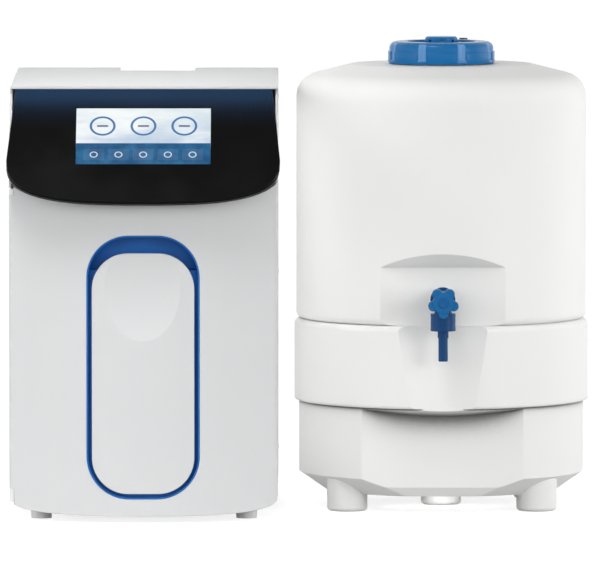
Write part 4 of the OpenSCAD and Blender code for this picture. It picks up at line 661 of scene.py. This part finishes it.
def fluted_ring():
    ring = plain_ring()
    for cutter in flute_cutters():
        pick(ring)
        cut = ring.modifiers.new("flute", "BOOLEAN")
        cut.operation = "DIFFERENCE"
        cut.solver = "EXACT"
        cut.object = cutter
        bpy.ops.object.modifier_apply(modifier=cut.name)
        bpy.data.objects.remove(cutter)
    soft = ring.modifiers.new("soft_edges", "BEVEL")
    soft.width = RING_EDGE
    soft.segments = 2
    soft.angle_limit = RING_EDGE_OVER
    bpy.ops.object.modifier_apply(modifier=soft.name)
    settle(ring, "fluted_screw_ring", "cap_blue", "screw_ring")
    ring.data.materials[0] = fluted_cap_blue()
    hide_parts("lid_ring")


fluted_ring()


# Small pieces on the tap's knob, the power switch and the filter cartridges

def flat_ring(outer, inner, height):
    """A flat ring on z = 0."""
    sides = 40
    ring = blank(outer, height, sides)
    face_pick(ring, lambda face: faces_up(face) or faces_down(face))
    bpy.ops.mesh.inset(thickness=outer - inner)
    face_pick(ring, lambda face: len(face.vertices) == sides)
    bpy.ops.mesh.bridge_edge_loops()
    bpy.ops.object.mode_set(mode="OBJECT")
    return ring


BAR_ROUND = 0.15 * MM


def flat_bar(width, length, height):
    """A flat bar with softened upper edges on z = 0, long along Y."""
    clear_selection()
    bpy.ops.mesh.primitive_cube_add(size=1, location=(0, 0, height / 2))
    bar = bpy.context.object
    bar.scale = (width, length, height)
    bpy.ops.object.transform_apply(location=True, scale=True)
    face_pick(bar, faces_up)
    round_rim(BAR_ROUND, segments=2)
    bpy.ops.object.mode_set(mode="OBJECT")
    return bar


BUTTON_RADIUS, BUTTON_HEIGHT, BUTTON_ROUND = 6.5 * MM, 1.6 * MM, 0.6 * MM
DISH_STEP, DISH_DIPS = 1.3 * MM, (0.25 * MM, 0.2 * MM, 0.12 * MM)


def knob_button():
    """A dished button that covers the knob's screw, its seat on z = 0."""
    button = blank(BUTTON_RADIUS, BUTTON_HEIGHT, sides=48)
    face_pick(button, faces_up)
    round_rim(BUTTON_ROUND, segments=3)
    face_pick(button, lies_flat)
    for dip in DISH_DIPS:
        bpy.ops.mesh.inset(thickness=DISH_STEP)
        bpy.ops.transform.translate(value=(0, 0, -dip))
    bpy.ops.object.mode_set(mode="OBJECT")
    return button


# Where the lines that look for a surface start: before the tap, behind the cabinet, behind the door
BEFORE_TAP, BEHIND_CABINET, BEHIND_DOOR = -0.4, 0.4, -0.15

stem_low, stem_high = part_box("tap_stem")
knob_front, _ = surface_spot("tap_knob", (tank_x, BEFORE_TAP, halfway(stem_low, stem_high, 2)), (0, 1, 0))
button = copies_of(knob_button(), [looking((0, -1, 0), knob_front)], "knob_button", "tap_blue", "handle")
# The button takes the bonnet's lighter copy of the tap's blue: painted light
button.data.materials[0] = OWN_FINISHES["tap_bonnet"]

ON_WIDTH, ON_LENGTH, OFF_OUTER, OFF_INNER = 0.9 * MM, 4.6 * MM, 2.4 * MM, 1.7 * MM
SIGN_INSET, SIGN_HEIGHT = 5.5 * MM, 0.25 * MM
rocker_low, rocker_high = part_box("power_rocker")
rocker_x = halfway(rocker_low, rocker_high, 0)
for sign, name, level in (
        (flat_bar(ON_WIDTH, ON_LENGTH, SIGN_HEIGHT), "switch_on_mark", rocker_high[2] - SIGN_INSET),
        (flat_ring(OFF_OUTER, OFF_INNER, SIGN_HEIGHT), "switch_off_mark", rocker_low[2] + SIGN_INSET)):
    spot, way = surface_spot("power_rocker", (rocker_x, BEHIND_CABINET, level), (0, -1, 0))
    copies_of(sign, [looking(way, spot)], name, "pale_plastic", "rocker")

# A blue band round each filter cartridge; the three have one radius.
BAND_HEIGHT, BAND_LEVEL = 12 * MM, 0.315
BAND_PROUD, BAND_SUNK = 0.8 * MM, 0.6 * MM
band_places = []
for cartridge in ("pretreatment_cartridge", "membrane_cartridge", "polishing_cartridge"):
    cartridge_low, cartridge_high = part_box(cartridge)
    cartridge_x = halfway(cartridge_low, cartridge_high, 0)
    cartridge_y = halfway(cartridge_low, cartridge_high, 1)
    wall, _ = surface_spot(cartridge, (cartridge_x, BEHIND_DOOR, BAND_LEVEL), (0, 1, 0))
    wall_radius = cartridge_y - wall.y
    band_places.append(Matrix.Translation((cartridge_x, cartridge_y, BAND_LEVEL)))
copies_of(flat_ring(wall_radius + BAND_PROUD, wall_radius - BAND_SUNK, BAND_HEIGHT), band_places,
          "cartridge_bands", "trim_blue", ROOT)


# Floor, light and camera

WHITE, FLOOR_GREY = (1, 1, 1, 1), (0.5, 0.5, 0.5, 1)
FLOOR_SIZE, FLOOR_GLOW = 40, 0.80
# The world's light: strong near the horizon, weak overhead, and a little weaker to the right.
HORIZON, OVERHEAD, HORIZON_LIGHT, OVERHEAD_LIGHT, RIGHT_LOSS = 0.17, 0.71, 1.85, 0.1, 0.06

# Lamps in the gap between the cabinet and the tank, and under the tank
GAP_X, GAP_Y, GAP_Z = right_high[0] + 1.5 * MM, 0.02, 0.275
UNDER_Y, UNDER_Z = -0.02, 0.018

# Each lamp: name, place, target, size, watts and, where it isn't half a turn, the spread in degrees
LAMPS = (
    ("key_over", (-0.9, -1.5, 3.0), (-0.1, -0.1, 0.35), (2.0, 1.6), 15),
    ("key_door", (-0.40, -0.8, 1.75), (-0.27, -0.25, 0.3), (0.5, 1.0), 1.3, 36),
    ("fill_tank", (1.7, -1.3, 0.6), (0.3, 0, 0.3), (0.9, 0.9), 1.5, 60),
    ("gap_panel", (GAP_X, GAP_Y, GAP_Z), (GAP_X + 1, GAP_Y, GAP_Z), (0.46, 0.51), 0.35),
    ("side_left", (-1.6, -1.0, 0.6), (-0.3, -0.2, 0.3), (1.0, 1.2), 4),
    ("under_tank", (tank_x, UNDER_Y, UNDER_Z), (tank_x, 1.0, UNDER_Z), (0.12, 0.02), 0.03),
    ("side_right", (1.5, 0.5, 0.5), (0.2, 0.05, 0.3), (1.2, 1.2), 4.5),
)

# A long lens 14 m in front, about twice as high as the object
CAMERA_AT, CAMERA_AIM = (0.0003, -14.0, 1.2175), (0.0003, 0, 0.2877)
CAMERA_LENS, CAMERA_SENSOR, CAMERA_REACH = 652, 36, 100


def seen_or(t, seen, other):
    """The first shader for what the camera and reflections see, the second for the light that falls."""
    path = t.add("ShaderNodeLightPath")
    direct = t.math("MAXIMUM", path.outputs["Is Camera Ray"],
                    t.math("MAXIMUM", path.outputs["Is Glossy Ray"], path.outputs["Is Transmission Ray"]))
    blend = t.add("ShaderNodeMixShader")
    for socket, item in zip(blend.inputs, (direct, other, seen)):
        t.plug(socket, item)
    return blend.outputs[0]


def studio_floor():
    """A white sweep: pale to the eye, greyer to the light that comes back up from it."""
    clear_selection()
    bpy.ops.mesh.primitive_plane_add(size=FLOOR_SIZE, location=(0, 0, 0))
    floor = bpy.context.object
    floor.name = "studio_floor"
    material, t, shader = new_finish("studio_white")
    t.fill(shader, {
        "Base Color": FLOOR_GREY, "Roughness": 0.9, "Specular IOR Level": 0.0,
        "Emission Color": WHITE, "Emission Strength": FLOOR_GLOW})
    dull = t.add("ShaderNodeBsdfDiffuse")
    dull.inputs["Color"].default_value = FLOOR_GREY
    output = material.node_tree.nodes["Material Output"]
    t.plug(output.inputs[0], seen_or(t, shader.outputs[0], dull.outputs[0]))
    floor.data.materials.append(material)


def studio_world():
    """White to the eye; the light that falls comes mostly from low down, all round."""
    world = bpy.data.worlds.new("studio_world")
    bpy.context.scene.world = world
    world.use_nodes = True
    t = Tree(world.node_tree)
    lights = world.node_tree.nodes["Background"]
    side, _, height = t.split(t.place())
    glow = t.fade(height, HORIZON, OVERHEAD, HORIZON_LIGHT, OVERHEAD_LIGHT)
    lean = t.math("SUBTRACT", 1.0, t.math("MULTIPLY", side, RIGHT_LOSS))
    t.fill(lights, {"Color": WHITE, "Strength": t.math("MULTIPLY", glow, lean)})
    seen = t.add("ShaderNodeBackground")
    t.fill(seen, {"Color": WHITE, "Strength": 1.0})
    output = world.node_tree.nodes["World Output"]
    t.plug(output.inputs[0], seen_or(t, seen.outputs[0], lights.outputs[0]))


def aimed(name, data, at, target):
    """Places a lamp or camera and points it at the target."""
    holder = bpy.data.objects.new(name, data)
    bpy.context.collection.objects.link(holder)
    holder.location = at
    holder.rotation_euler = (Vector(target) - Vector(at)).to_track_quat("-Z", "Y").to_euler()
    return holder


def soft_lamp(name, at, target, size, watts, spread=180):
    data = bpy.data.lights.new(name, "AREA")
    data.shape = "RECTANGLE"
    data.size, data.size_y = size
    data.energy = watts
    data.spread = math.radians(spread)
    aimed(name, data, at, target).visible_camera = False


def photo_camera():
    data = bpy.data.cameras.new("photo_camera")
    data.sensor_width = CAMERA_SENSOR
    data.lens = CAMERA_LENS
    data.clip_end = CAMERA_REACH
    bpy.context.scene.camera = aimed("photo_camera", data, CAMERA_AT, CAMERA_AIM)


studio_floor()
studio_world()
for lamp in LAMPS:
    soft_lamp(*lamp)
photo_camera()
bpy.context.scene.view_settings.view_transform = "Standard"
